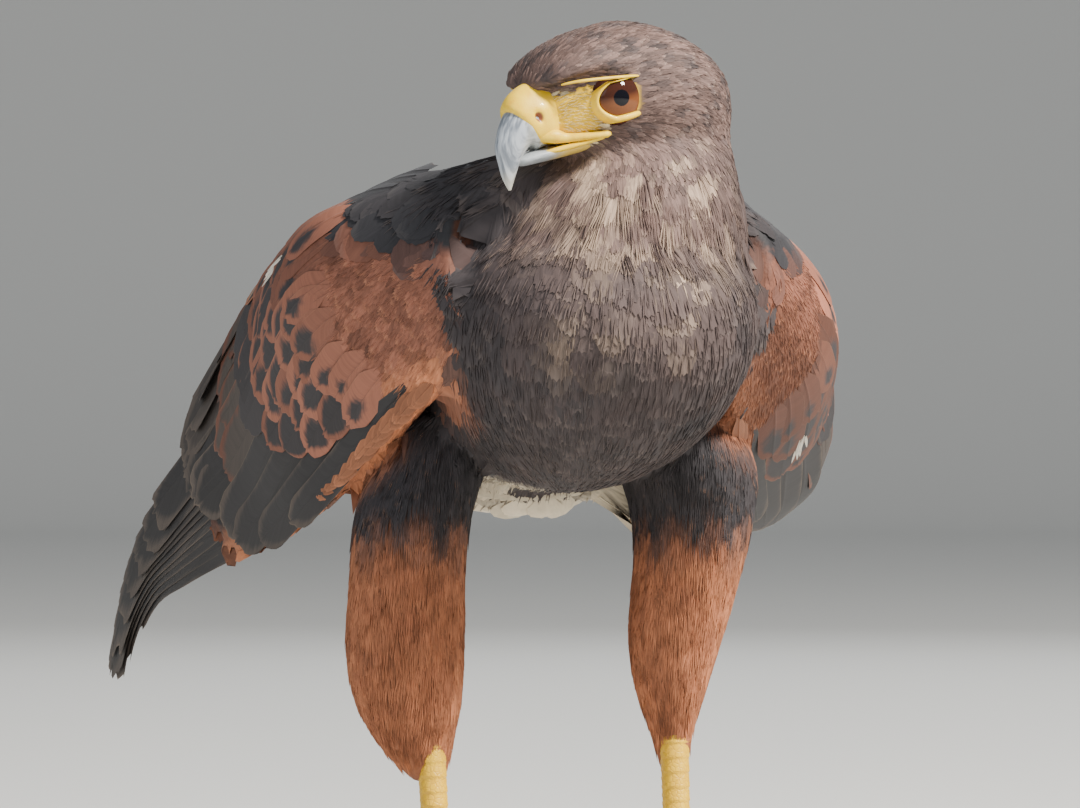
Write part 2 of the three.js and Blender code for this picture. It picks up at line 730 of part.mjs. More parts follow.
function vent() {
  return tailCovert([
    [46, 160, 30, 12, 10],
    [75, 158, 30, 12, 9],
    [105, 160, 26, 10, 7],
    [135, 163, 21, 7, 4],
    [165, 163, 14, 3, 3],
    [190, 161, 6, 1, 1.5],
  ]);
}

function rump() {
  return tailCovert([
    [84, 205, 22, 10, 14],
    [105, 197, 23, 8, 14],
    [128, 186, 21, 6, 9],
    [150, 178, 17, 4, 6],
    [170, 173.5, 8, 2, 3],
  ]);
}

// Largest closed body of a result
function largest(body) {
  const parts = body.decompose();
  return parts.reduce((best, part) => (part.volume() > best.volume() ? part : best));
}

const group = new THREE.Group();

function addNode(name, body, colour) {
  const mesh = largest(body).getMesh();
  const geometry = new THREE.BufferGeometry();
  geometry.setAttribute('position', new THREE.BufferAttribute(new Float32Array(mesh.vertProperties), 3));
  geometry.setIndex(new THREE.BufferAttribute(new Uint32Array(mesh.triVerts), 1));
  geometry.computeVertexNormals();
  const [hex, roughness] = COLOURS[colour];
  const material = new THREE.MeshStandardMaterial({ color: hex, roughness, metalness: 0 });
  const object = new THREE.Mesh(geometry, material);
  object.name = name;
  group.add(object);
}

// Room for the cere, the bill and the edges of the mouth
function faceRoom() {
  return wasm.Manifold.union([
    cereBody(GAP),
    upperBillBody(GAP),
    lowerBillBody(GAP),
    gape(-1, GAP),
    gape(1, GAP),
  ]);
}

function buildHead() {
  let head = headRings(SKULL, 12, 20, 0);
  for (const side of [-1, 1]) {
    head = head.add(brow(side)).add(lids(side));
  }
  for (const side of [-1, 1]) {
    head = head.subtract(eyeball(side, GAP));
  }
  addNode('head', head.subtract(faceRoom()), 'head_plumage');
  addNode('eye_right', eyeball(-1, 0), 'eye');
  addNode('eye_left', eyeball(1, 0), 'eye');
}

function buildBill() {
  const upper = upperBillBody(0);
  const lower = lowerBillBody(0).subtract(upperBillBody(GAP));
  let cere = cereBody(0).add(gape(-1, 0)).add(gape(1, 0));
  cere = cere.subtract(upperBillBody(1.5 * GAP)).subtract(lowerBillBody(GAP));
  for (const side of [-1, 1]) {
    cere = cere.subtract(nostril(side));
  }
  addNode('cere', cere, 'yellow_skin');
  addNode('bill_upper', upper, 'horn');
  addNode('bill_lower', lower, 'horn');
}

function buildTrunk() {
  const skullRoom = headRings(SKULL, 12, 20, GAP);
  const neck = neckBody(0).subtract(trunkBody(GAP)).subtract(skullRoom).subtract(faceRoom());
  addNode('torso', trunkBody(0), 'plumage');
  addNode('neck', neck, 'plumage');
}

function buildLeg(side, word) {
  const tarsus = tarsusBody(side, 0);
  const foot = aboveFloor(footBody(side, 0));
  const thigh = thighBody(side, 0).subtract(trunkBody(GAP)).subtract(tarsusBody(side, GAP));
  addNode('thigh_' + word, thigh, 'rust');
  addNode('tarsus_' + word, tarsus.subtract(footBody(side, GAP)), 'yellow_skin');
  addNode('foot_' + word, foot, 'yellow_skin');
  for (const toe of TOES) {
    const claw = aboveFloor(clawBody(side, toe)).subtract(footBody(side, GAP));
    addNode('claw_' + toe[0] + '_' + word, claw, 'claw');
  }
}

function buildWing(side, word) {
  const wing = wasm.Manifold.union([wingFlesh(side), ...wingFeathers(side)])
    .subtract(trunkBody(GAP))
    .subtract(neckBody(GAP))
    .subtract(thighBody(side, GAP));
  addNode('wing_' + word, wing, 'wing');
}

function buildTail() {
  const vanes = [];
  for (let k = 0; k < TAIL_FEATHERS / 2; k += 1) vanes.push(tailVane(-1, k), tailVane(1, k));
  const tail = wasm.Manifold.union([tailFlesh(0), ...vanes]).subtract(trunkBody(GAP));
  addNode('tail', tail, 'tail');
  const taken = wasm.Manifold.union([thighBody(-1, GAP), thighBody(1, GAP), trunkBody(GAP), tailRoom()]);
  addNode('undertail_coverts', vent().subtract(taken), 'cream');
  addNode('uppertail_coverts', rump().subtract(taken), 'cream');
}

buildTrunk();
buildHead();
buildBill();
buildLeg(-1, 'right');
buildLeg(1, 'left');
buildWing(-1, 'right');
buildWing(1, 'left');
buildTail();

// The origin is on the floor, below the middle of the whole bird's box
const box = new THREE.Box3().setFromObject(group);
group.position.set(-(box.min.x + box.max.x) / 2, -(box.min.y + box.max.y) / 2, -box.min.z);

export default group;
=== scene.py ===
# %% [markdown]
# # A Harris's hawk, standing
# This lesson dresses a life-size hawk. The measured solid model is the frame: it says
# where the trunk, head, wings, tail and legs are. Here they get skin, feathers, horn and eyes.
# All sizes below are in millimetres in the hawk's own axes: it faces -Y, +Z is up and
# its right side is -X. They become metres when a mesh is made.

# %% Read the frame
import json
import math

import bpy
import numpy as np
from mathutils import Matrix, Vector
from mathutils.kdtree import KDTree

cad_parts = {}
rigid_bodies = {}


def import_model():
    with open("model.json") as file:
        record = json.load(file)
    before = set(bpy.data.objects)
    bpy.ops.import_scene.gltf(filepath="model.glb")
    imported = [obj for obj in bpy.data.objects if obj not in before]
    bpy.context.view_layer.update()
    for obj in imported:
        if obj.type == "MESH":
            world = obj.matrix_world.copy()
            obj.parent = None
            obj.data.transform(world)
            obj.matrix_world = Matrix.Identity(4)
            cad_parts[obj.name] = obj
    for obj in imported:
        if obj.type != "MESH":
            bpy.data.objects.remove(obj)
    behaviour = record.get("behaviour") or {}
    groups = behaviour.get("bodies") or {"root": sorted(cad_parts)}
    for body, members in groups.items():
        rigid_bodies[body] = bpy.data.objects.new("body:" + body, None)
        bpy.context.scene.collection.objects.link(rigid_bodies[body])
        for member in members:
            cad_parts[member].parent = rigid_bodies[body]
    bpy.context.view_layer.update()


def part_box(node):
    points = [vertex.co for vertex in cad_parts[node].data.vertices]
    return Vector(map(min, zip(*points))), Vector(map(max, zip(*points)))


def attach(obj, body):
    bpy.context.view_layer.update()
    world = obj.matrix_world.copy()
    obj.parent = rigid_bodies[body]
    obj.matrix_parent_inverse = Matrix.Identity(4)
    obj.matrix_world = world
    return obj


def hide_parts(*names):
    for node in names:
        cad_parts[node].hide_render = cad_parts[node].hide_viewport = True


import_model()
torso_low, torso_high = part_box("torso")
TRUNK_FRONT = -91
SHIFT = np.array([(torso_low[0] + torso_high[0]) / 2, torso_low[1] - TRUNK_FRONT / 1000, 0])
print("shift of the hawk's axes in metres", SHIFT.round(5))

# %% [markdown]
# ## Numbers along a curve
# The solid model was drawn as rows of sizes, joined by smooth curves that pass through
# every row. The same rows are used here, so both models share one shape. A curve through
# rows is a weighted mean of four of them, and the weights can be worked out for
# thousands of places at once.

# %% Curves through rows
X, Y, Z = np.eye(3)


def weights(count, t):
    """Share of each of the rows at places t from 0 to 1."""
    t = np.asarray(t, float)
    spot = np.clip(t, 0, 1) * (count - 1)
    first = np.minimum(spot.astype(int), count - 2)
    f = spot - first
    parts = (
        f * (-0.5 + f * (1 - 0.5 * f)),
        1 + f * f * (-2.5 + 1.5 * f),
        f * (0.5 + f * (2 - 1.5 * f)),
        f * f * (-0.5 + 0.5 * f),
    )
    out = np.zeros(t.shape + (count,))
    for step, part in zip((-1, 0, 1, 2), parts):
        row = np.clip(first + step, 0, count - 1)
        out += part[..., None] * (np.arange(count) == row[..., None])
    return out


def blend(rows, t):
    """Rows of numbers at places t from 0 to 1."""
    rows = np.asarray(rows, float)
    return weights(len(rows), t) @ rows


def unit(v):
    """Vectors at length one."""
    return v / np.maximum(np.linalg.norm(v, axis=-1, keepdims=True), 1e-9)


def smooth_step(low, high, value):
    """0 below low, 1 above high and an easy slope between them."""
    t = np.clip((value - low) / (high - low), 0, 1)
    return t * t * (3 - 2 * t)


def rings(centres, across, rise, half, up, down, count):
    """Closed oval rings of points round a line of centres."""
    angle = np.linspace(0, 2 * np.pi, count, endpoint=False)
    c, s = np.cos(angle), np.sin(angle)
    across = np.broadcast_to(across, centres.shape)[:, None]
    rise = np.broadcast_to(rise, centres.shape)[:, None]
    high = np.where(s > 0, up[:, None], down[:, None]) * s
    wide = half[:, None] * c
    return centres[:, None] + wide[..., None] * across + high[..., None] * rise


print("a curve through 0, 1, 0 passes its first quarter at", blend([[0], [1], [0]], 0.25))

# %% [markdown]
# ## Meshes from arrays
# A loft joins ring to ring with quads and closes each end. Most parts of the hawk are
# made this way. Writing the arrays straight into a mesh is the fastest way to make the
# many thousands of faces that feathers need.

# %% Mesh helpers
def loft_faces(steps, count):
    """Quads between closed rings, and the two ends as flat faces."""
    i, j = np.meshgrid(np.arange(steps - 1), np.arange(count), indexing="ij")
    a, b = i * count + j, i * count + (j + 1) % count
    quads = np.stack([a, b, b + count, a + count], -1).reshape(-1, 4).tolist()
    ends = [list(range(count))[::-1], [(steps - 1) * count + k for k in range(count)]]
    return quads + ends


def outward(points, faces):
    """The faces, turned round if they point inwards."""
    p = points - points.mean(axis=0)
    volume = 0.0
    for face in faces[:: max(1, len(faces) // 400)]:
        a, b, c = p[face[0]], p[face[1]], p[face[2]]
        volume += np.dot(a, np.cross(b, c))
    return faces if volume > 0 else [list(face)[::-1] for face in faces]


def piece(name, points, faces, metres=False):
    """A new object with smooth faces. Points are in the hawk's millimetres."""
    mesh = bpy.data.meshes.new(name)
    points = np.asarray(points, float)
    if not metres:
        points = points / 1000 + SHIFT
    mesh.from_pydata(points.tolist(), [], faces)
    mesh.shade_smooth()
    made = bpy.data.objects.new(name, mesh)
    bpy.context.scene.collection.objects.link(made)
    return made


def loft(name, ring_grid):
    """A closed body through rings."""
    steps, count = ring_grid.shape[:2]
    points = ring_grid.reshape(-1, 3)
    return piece(name, points, outward(points, loft_faces(steps, count)))


def finished(made):
    """The object with its modifiers applied, under the same name."""
    graph = bpy.context.evaluated_depsgraph_get()
    mesh = bpy.data.meshes.new_from_object(made.evaluated_get(graph))
    made.modifiers.clear()
    old = made.data
    made.data = mesh
    mesh.name = made.name
    bpy.data.meshes.remove(old)
    return made


def set_map(made, name, places):
    """A UV map from one place for each vertex."""
    mesh = made.data
    layer = mesh.uv_layers.new(name=name, do_init=False)
    corner = np.zeros(len(mesh.loops), int)
    mesh.loops.foreach_get("vertex_index", corner)
    layer.uv.foreach_set("vector", np.asarray(places, np.float32)[corner].ravel())


def set_values(made, name, kind, values):
    """An attribute on the vertices: a number, a vector or a colour."""
    field = {"FLOAT": "value", "FLOAT_VECTOR": "vector", "FLOAT_COLOR": "color", "FLOAT2": "vector"}
    values = np.asarray(values, np.float32)
    if kind == "FLOAT_COLOR":
        values = np.concatenate([values, np.ones((len(values), 1), np.float32)], axis=1)
    layer = made.data.attributes.new(name, kind, "POINT")
    layer.data.foreach_set(field[kind], values.ravel())


def vertices(made):
    """Vertices in the hawk's millimetres and their normals."""
    mesh = made.data
    count = len(mesh.vertices)
    spots, normals = np.zeros(count * 3), np.zeros(count * 3)
    mesh.vertices.foreach_get("co", spots)
    mesh.vertex_normals.foreach_get("vector", normals)
    return (spots.reshape(-1, 3) - SHIFT) * 1000, normals.reshape(-1, 3)


print("a loft of 3 rings of 4 points has", len(loft_faces(3, 4)), "faces")

# %% [markdown]
# ## Writing node trees as sums
# Materials and scattering trees are both made of nodes. One small class wraps an output
# so that ordinary sums add Math nodes, and one method makes any other node.

# %% Node helpers
class Value:
    """One output of a node, on which sums can be written."""

    def __init__(self, tree, socket):
        self.tree = tree
        self.socket = socket

    def sum(self, operation, first, second=0.0):
        node = self.tree.node("ShaderNodeMath", {"operation": operation}, {0: first, 1: second})
        return node["Value"]

    def __add__(self, other):
        return self.sum("ADD", self, other)

    def __radd__(self, other):
        return self.sum("ADD", other, self)

    def __sub__(self, other):
        return self.sum("SUBTRACT", self, other)

    def __rsub__(self, other):
        return self.sum("SUBTRACT", other, self)

    def __mul__(self, other):
        return self.sum("MULTIPLY", self, other)

    def __rmul__(self, other):
        return self.sum("MULTIPLY", other, self)

    def __truediv__(self, other):
        return self.sum("DIVIDE", self, other)

    def __rtruediv__(self, other):
        return self.sum("DIVIDE", other, self)

    def __abs__(self):
        return self.sum("ABSOLUTE", self)

    def __pow__(self, other):
        return self.sum("POWER", self, other)

    def most(self, other):
        return self.sum("MAXIMUM", self, other)


class Made:
    """A node in a tree, whose outputs are read by name or number."""

    def __init__(self, tree, node):
        self.tree = tree
        self.node = node

    def __getitem__(self, name):
        return Value(self.tree, self.node.outputs[name])


class Tree:
    """A node tree that is being built."""

    def __init__(self, nodes):
        self.nodes = nodes

    def put(self, slot, item):
        if isinstance(item, Value):
            self.nodes.links.new(item.socket, slot)
        elif slot.type == "RGBA" and len(item) == 3:
            slot.default_value = (*item, 1)
        else:
            slot.default_value = item

    def node(self, kind, settings=None, values=None):
        made = self.nodes.nodes.new(kind)
        for name, setting in (settings or {}).items():
            setattr(made, name, setting)
        for name, item in (values or {}).items():
            self.put(made.inputs[name], item)
        return Made(self, made)

    def mix(self, factor, first, second):
        """A colour between two others."""
        node = self.node("ShaderNodeMix", {"data_type": "RGBA"}, {0: factor, 6: first, 7: second})
        return node[2]

    def between(self, low, high, value):
        """0 at low, 1 at high, with an easy slope."""
        settings = {"interpolation_type": "SMOOTHSTEP"}
        return self.node("ShaderNodeMapRange", settings, {0: value, 1: low, 2: high})["Result"]

    def attribute(self, name, output="Color"):
        return self.node("ShaderNodeAttribute", {"attribute_name": name})[output]

    def vector(self, x, y, z=0.0):
        return self.node("ShaderNodeCombineXYZ", {}, {0: x, 1: y, 2: z})["Vector"]

    def noise(self, place, scale, detail=2.0, rough=0.5):
        values = {"Vector": place, "Scale": scale, "Detail": detail, "Roughness": rough}
        return self.node("ShaderNodeTexNoise", {}, values)["Fac"]

    def place(self):
        """Where a point of the object lies, in metres."""
        return self.node("ShaderNodeTexCoord")["Object"]

    def bump(self, height, strength, depth):
        """The normal of a surface with small heights, as deep as depth in metres."""
        values = {"Strength": strength, "Distance": depth, "Height": height}
        return self.node("ShaderNodeBump", {}, values)["Normal"]


def finish_look(name, paint, **constants):
    """A material. The paint function draws what varies and returns it socket by socket."""
    look = bpy.data.materials.new(name)
    look.use_nodes = True
    look.node_tree.nodes.clear()
    tree = Tree(look.node_tree)
    surface = tree.node("ShaderNodeBsdfPrincipled")
    for socket, item in {**constants, **paint(tree)}.items():
        tree.put(surface.node.inputs[socket.replace("_", " ")], item)
    tree.node("ShaderNodeOutputMaterial", {}, {"Surface": surface["BSDF"]})
    return look


# %% [markdown]
# ## The body under the feathers
# A bird is much slimmer than its coat. Trunk, neck and thighs are ovals along a line,
# the head is an oval along its own turned axis, and the folded arm of each wing is a
# slab that follows the wing's surface. They are drawn one to three millimetres inside the
# solid model, so that the feathers come out to the true outline. Three cushions of
# feathers are ovals too: under the tail, over its root, and a rise between the shoulders.

# %% Rows of the trunk, neck and thighs
TRUNK = [
    [-91, 203, 14, 10, 12],
    [-85, 204, 29, 20, 25],
    [-70, 205, 43, 31, 42],
    [-48, 205, 51, 39, 52],
    [-20, 203, 52, 45, 55],
    [10, 201, 50, 47, 54],
    [45, 197, 46, 40, 49],
    [75, 190, 40, 31, 39],
    [100, 184, 32, 22, 28],
    [118, 179, 22, 14, 16],
    [129, 176, 12, 7, 9],
]
NECK = [
    [190, 1, -42, 34, 38, 24],
    [208, 2, -46, 42, 41, 32],
    [224, 4, -49, 42, 37, 36],
    [238, 7, -51, 38, 32, 34],
    [250, 11, -51, 32, 26, 30],
    [260, 14, -50, 27, 20, 27],
    [268, 14, -49, 20, 14, 20],
]
RIGHT_THIGH = [
    [58, 41, 12, 6.5, 7, 8],
    [64, 42.3, 13, 11, 9.5, 13],
    [76, 45.3, 14, 16.5, 14.5, 19],
    [90, 47, 14, 19.8, 18.5, 23],
    [106, 47.5, 13, 20.3, 21, 26],
    [124, 47, 12, 19.5, 24, 29],
    [142, 45.5, 11, 19.5, 27, 33],
    [158, 40, 12, 19, 27, 34],
    [174, 36, 12, 17, 23, 28],
]
LEFT_THIGH = [
    [58, 40.8, 12.5, 6, 6.5, 7.5],
    [64, 40.6, 13, 7, 9, 11.5],
    [76, 40, 14, 9.5, 13, 16],
    [90, 40.2, 14, 13.8, 17, 21],
    [106, 42, 13.5, 16.8, 20.5, 25],
    [124, 45, 12, 18.3, 24, 29],
    [142, 46.5, 11, 20.5, 27, 33],
    [158, 44, 10, 23, 30, 36],
    [174, 40, 10, 20, 26, 30],
]
TAIL_FLESH = [
    [100, 181, 15, 5, 7],
    [118, 177.5, 19, 4.5, 6.5],
    [138, 174, 18, 3, 6],
    [156, 171.5, 14, 1.5, 4],
]
VENT = [
    [40, 160, 30, 12, 12],
    [75, 158, 30, 12, 13],
    [105, 160, 26, 10, 9],
    [135, 163, 21, 7, 4],
    [165, 163, 14, 3, 3],
    [190, 161, 6, 1, 1.5],
]
HUNCH_ASIDE = -2
HUNCH = [
    [-66, 236, 12, 8, 18],
    [-54, 238, 30, 16, 26],
    [-38, 238, 46, 18, 28],
    [-15, 233, 58, 18, 28],
    [20, 218, 50, 13, 20],
    [50, 205, 38, 7, 15],
]
RUMP = [
    [84, 205, 22, 10, 14],
    [105, 197, 23, 8, 14],
    [128, 186, 21, 6, 9],
    [150, 178, 17, 4, 6],
    [170, 173.5, 8, 2, 3],
]


LEAST_HALF = 0.6


def lengthwise(rows, inset, steps=70, count=72, aside=0):
    """Rings across a body that runs from front to back."""
    y, z, half, up, down = blend(rows, np.linspace(0, 1, steps)).T
    centres = np.stack([aside + 0 * y, y, z], -1)
    sizes = [np.maximum(size - inset, LEAST_HALF) for size in (half, up, down)]
    return rings(centres, X, Z, *sizes, count)


def neck_rings(inset):
    z, x, y, half, front, back = blend(NECK, np.linspace(0, 1, 48)).T
    return rings(np.stack([x, y, z], -1), X, Y, half - inset, back - inset, front - inset, 72)


def thigh_rings(side, inset):
    rows = RIGHT_THIGH if side < 0 else LEFT_THIGH
    z, x, y, half, front, back = blend(rows, np.linspace(0, 1, 60)).T
    centres = np.stack([side * x, y, z], -1)
    return rings(centres, X, Y, half - inset, back - inset, front - inset, 56)


print("trunk is", TRUNK[-1][0] - TRUNK[0][0], "mm long")

# %% [markdown]
# The head is turned 67 degrees to the hawk's right and the bill dips by 15 degrees. Every
# point of the face is given in the head's own axes: forward along the bill, sideways
# towards the hawk's left, and up to the crown.

# %% The head's own axes
HEAD_AT = np.array([-10.5, -60, 268.5])
TURN, DIP = math.radians(67), math.radians(15)
FACE = np.array([-math.sin(TURN), -math.cos(TURN), 0])
LEFT = np.cross(Z, FACE)
BILL = FACE * math.cos(DIP) - Z * math.sin(DIP)
CROWN = np.cross(BILL, LEFT)
SKULL = [
    [19, -1.5, 5.5, 6.5, 7],
    [15, -1, 9.5, 9.5, 11],
    [8, 0, 15, 14, 15],
    [0, 0, 19, 19, 19.5],
    [-10, 0, 23.5, 22.5, 24],
    [-22, -1, 26, 22, 27],
    [-33, -3, 25.5, 18.5, 29],
    [-42, -6, 20, 13, 25],
    [-48.5, -9, 10, 7, 13],
]


def head_point(forward, sideways, up):
    """A place given in the head's own axes."""
    f, s, u = np.broadcast_arrays(forward, sideways, up)
    return HEAD_AT + f[..., None] * BILL + s[..., None] * LEFT + u[..., None] * CROWN


def head_axes(points):
    """Forward, sideways and up of given points."""
    away = points - HEAD_AT
    return away @ BILL, away @ LEFT, away @ CROWN


def head_rings(rows, steps, count, inset=0.0):
    f, u, half, up, down = blend(rows, np.linspace(0, 1, steps)).T
    centres = head_point(f, 0, u)
    return rings(centres, LEFT, CROWN, half - inset, up - inset, down - inset, count)


print("bill points along", BILL.round(2))

# %% [markdown]
# A hawk's brow is a bony shelf that overhangs both eyes. It is a flat oval across the
# forehead, and melts into the skull with the rest of the skin, so that feathers grow
# over it. Lips and rims of the face are tubes along the head.

# %% Brow shelf
BROW = [
    [20.8, 8.3, 7.5, 2.2, 2.4],
    [17, 9.6, 14.4, 4.4, 2.8],
    [12.5, 10.4, 17.8, 7.0, 2.8],
    [6, 10.2, 19.0, 9.8, 3.0],
    [0, 9.3, 19.8, 12.0, 3.0],
    [-6, 8.2, 20.2, 13.5, 3.0],
    [-14, 7, 20, 13, 3.0],
    [-20, 6, 16, 10, 3.0],
]


def head_tube(rows, steps, count):
    """Rings along the head. Rows give forward, sideways, up, half width and half height."""
    f, s, u, wide, high = blend(rows, np.linspace(0, 1, steps)).T
    centres = head_point(f, s, u)
    along = unit(np.gradient(centres, axis=0))
    across = unit(np.cross(along, CROWN))
    rise = unit(np.cross(across, along))
    return rings(centres, across, rise, wide, high, high, count)


def mirrored(rows, side):
    """Rows of a part of the face for one side of the head."""
    return [[f, side * s, *rest] for f, s, *rest in rows]


# %% [markdown]
# ## The folded wing as a surface
# Feathers lie on the wing like tiles on a roof, so the wing is first drawn as one smooth
# sheet. Two numbers name a place on it: u runs from the shoulder to the tip and v from
# the lower edge to the upper one. The left wing is held a little further out than the right.

# %% The wing's surface
RIGHT_WING = [
    [[44, -54, 190], [50.5, -57, 205], [53, -56, 221], [49, -50, 238], [35, -41, 250]],
    [[56, -22, 172], [73, -4, 190], [83, 0, 212], [75, 0, 236], [46, 0, 252]],
    [[71, 31, 145], [82, 50, 168], [87, 56, 195], [80, 56, 222], [48, 56, 241]],
    [[77, 84, 130], [84, 94, 152], [88, 97, 176], [84, 98, 202], [58, 98, 223]],
    [[84, 132, 120], [90, 134, 137], [93, 135, 155], [91, 136, 175], [76, 136, 194]],
    [[93, 168, 113], [96, 170, 124], [98, 171, 136], [98, 172, 149], [93, 172, 160]],
    [[98, 202, 106], [100, 203, 113], [101, 203, 121], [101, 204, 129], [99, 204, 137]],
    [[99, 238, 91], [101, 238, 96], [102, 238, 101], [102, 238, 106], [101, 238, 111]],
    [[99, 272, 72], [100, 272, 74], [101, 272, 76], [101, 270, 79], [101, 268, 82]],
]
LEFT_WING = [
    [[44, -52, 186], [51, -54, 203], [56, -52, 220], [52, -46, 235], [37, -38, 247]],
    [[58, 5, 158], [82, 0, 180], [89, 0, 204], [77, 0, 229], [46, 0, 247]],
    [[79, 58, 141], [100, 56, 163], [107, 56, 189], [96, 56, 217], [56, 56, 238]],
    [[93, 95, 134], [114, 96, 150], [119, 97, 170], [111, 98, 196], [70, 98, 219]],
    [[106, 132, 132], [116, 134, 140], [120, 135, 153], [117, 136, 172], [92, 136, 190]],
    [[107, 168, 120], [112, 170, 129], [115, 171, 140], [114, 172, 152], [104, 172, 163]],
    [[109, 202, 109], [112, 203, 116], [113, 203, 124], [113, 204, 132], [110, 204, 140]],
    [[110, 238, 94], [112, 238, 99], [113, 238, 104], [113, 238, 109], [112, 238, 114]],
    [[109, 272, 75], [110, 272, 77], [111, 272, 79], [111, 270, 82], [110, 268, 85]],
]
WING_BACK = [-56, 5, 58, 95, 132, 168, 202, 238, 272]
WING_THICK = [14, 21, 18, 9, 3]


def wing_point(side, u, v):
    """Places on the folded wing. side is -1 for the right wing and 1 for the left."""
    rows = np.array(RIGHT_WING if side < 0 else LEFT_WING, float)
    along, across = weights(rows.shape[0], u), weights(rows.shape[1], v)
    return np.einsum("...i,...j,ijk->...k", along, across, rows) * (side, 1, 1)


def wing_out(side, u, v):
    """The direction out of the folded wing at those places."""
    e = 0.01
    along = wing_point(side, np.minimum(u + e, 1), v) - wing_point(side, np.maximum(u - e, 0), v)
    across = wing_point(side, u, np.minimum(v + e, 1)) - wing_point(side, u, np.maximum(v - e, 0))
    out = unit(np.cross(along, across))
    good = (out[..., 0] * side > 0) | ((np.abs(out[..., 0]) < 0.2) & (out[..., 2] > 0))
    return np.where(good, 1, -1)[..., None] * out


def wing_u(y):
    """Place along the wing of a distance back."""
    return np.interp(y, WING_BACK, np.linspace(0, 1, len(WING_BACK)))


ARM_REACH = 0.5
WING_SKIN = 1.2
LEAST_ARM = 0.8


def arm_rings(side, inset):
    """The arm inside the folded wing."""
    u, v = np.meshgrid(np.linspace(0, ARM_REACH, 40), np.linspace(0.01, 0.99, 30), indexing="ij")
    thick = blend([[t] for t in WING_THICK], u / ARM_REACH)[..., 0]
    edge = 0.25 + 0.75 * np.sqrt(np.sin(np.pi * v))
    out = wing_out(side, u, v)
    outer = wing_point(side, u, v) - (WING_SKIN + inset) * out
    inner = outer - (np.maximum(thick * edge - inset, LEAST_ARM))[..., None] * out
    return np.concatenate([outer, inner[:, ::-1]], axis=1)


for side in (-1, 1):
    from_shoulder = wing_point(side, 1.0, 0.5) - wing_point(side, 0.0, 0.5)
    print("folded wing is", np.linalg.norm(from_shoulder).round(), "mm from shoulder to tip")

# %% [markdown]
# ## One skin
# The parts overlap, so a voxel remesh can fuse them into one closed surface and some
# rounds of smoothing melt the joins. Each vertex remembers which part it lies nearest to.
# Those memories, spread out a little, say how long the feathers are, which way they lie
# and what colour they have. A depth says how far a part lies under the coat's surface.

# %% Fuse the skin
TRUNK_DEPTH, THIGH_DEPTH, HEAD_DEPTH, ARM_DEPTH = 3.2, 2.6, 1.4, 1.4
TAIL_DEPTH, RUMP_DEPTH, BROW_DEPTH, VENT_FLUFF = 0.5, 2.6, 0.6, 2.5
PARTS = {
    "trunk": lengthwise(TRUNK, TRUNK_DEPTH),
    "neck": neck_rings(TRUNK_DEPTH),
    "head": head_rings(SKULL, 48, 72, HEAD_DEPTH),
    "thigh_right": thigh_rings(-1, THIGH_DEPTH),
    "thigh_left": thigh_rings(1, THIGH_DEPTH),
    "arm_right": arm_rings(-1, ARM_DEPTH),
    "arm_left": arm_rings(1, ARM_DEPTH),
    "tail_flesh": lengthwise(TAIL_FLESH, TAIL_DEPTH, 40, 40),
    "vent": lengthwise(VENT, -VENT_FLUFF, 50, 48),
    "rump": lengthwise(RUMP, RUMP_DEPTH, 40, 48),
    "brow": head_rings(BROW, 40, 64, BROW_DEPTH),
    "hunch": lengthwise(HUNCH, 0, 50, 64, HUNCH_ASIDE),
}
VOXEL_METRES = 0.00166
MELTING_ROUNDS = 14


def fuse_skin():
    points, faces, first = [], [], 0
    for grid in PARTS.values():
        flat = grid.reshape(-1, 3)
        own = outward(flat, loft_faces(*grid.shape[:2]))
        faces += [[k + first for k in face] for face in own]
        points.append(flat)
        first += len(flat)
    made = piece("skin", np.concatenate(points), faces)
    melt = made.modifiers.new("Melt", "REMESH")
    melt.mode = "VOXEL"
    melt.voxel_size = VOXEL_METRES
    ease = made.modifiers.new("Ease", "SMOOTH")
    ease.factor = 0.5
    ease.iterations = MELTING_ROUNDS
    made = finished(made)
    made.data.shade_smooth()
    return made


skin = fuse_skin()
spots, normals = vertices(skin)
print("skin has", len(spots), "vertices")

# %% [markdown]
# Nearest-part memory: a tree of all the rings' points is asked once for each vertex. The
# answer also gives the vertex its place on a flat chart, with one window of the chart
# for each part. Every feather takes the chart place of its root, which keeps the colours
# of neighbours together when the materials are baked to pictures.

# %% Parts and chart places
CHART_COLUMNS, CHART_ROWS = 4, 3
WINDOW_RIM, WINDOW = 0.04, 0.92


def remember(spots):
    """Weight of each part and the chart place of each vertex."""
    grids = list(PARTS.values())
    tree = KDTree(sum(g.shape[0] * g.shape[1] for g in grids))
    owner, chart, count = [], [], 0
    for number, grid in enumerate(grids):
        steps, round_it = grid.shape[:2]
        i, j = np.meshgrid(np.linspace(0, 1, steps), np.linspace(0, 1, round_it), indexing="ij")
        column, row = number % CHART_COLUMNS, number // CHART_COLUMNS
        across = (column + WINDOW_RIM + WINDOW * j) / CHART_COLUMNS
        window = np.stack([across, (row + WINDOW_RIM + WINDOW * i) / CHART_ROWS], -1)
        for p in grid.reshape(-1, 3):
            tree.insert(p, count)
            count += 1
        owner += [number] * (steps * round_it)
        chart.append(window.reshape(-1, 2))
    tree.balance()
    nearest = np.array([tree.find(p)[1] for p in spots])
    return np.array(owner)[nearest], np.concatenate(chart)[nearest]


def spread(mesh, values, rounds):
    """Values on the vertices, averaged with their neighbours."""
    edges = np.zeros(len(mesh.edges) * 2, int)
    mesh.edges.foreach_get("vertices", edges)
    a, b = edges.reshape(-1, 2).T
    touching = np.bincount(edges, minlength=len(values))[:, None]
    for _ in range(rounds):
        total = values.copy()
        for column in range(values.shape[1]):
            total[:, column] += np.bincount(a, values[b, column], len(values))
            total[:, column] += np.bincount(b, values[a, column], len(values))
        values = total / (touching + 1)
    return values


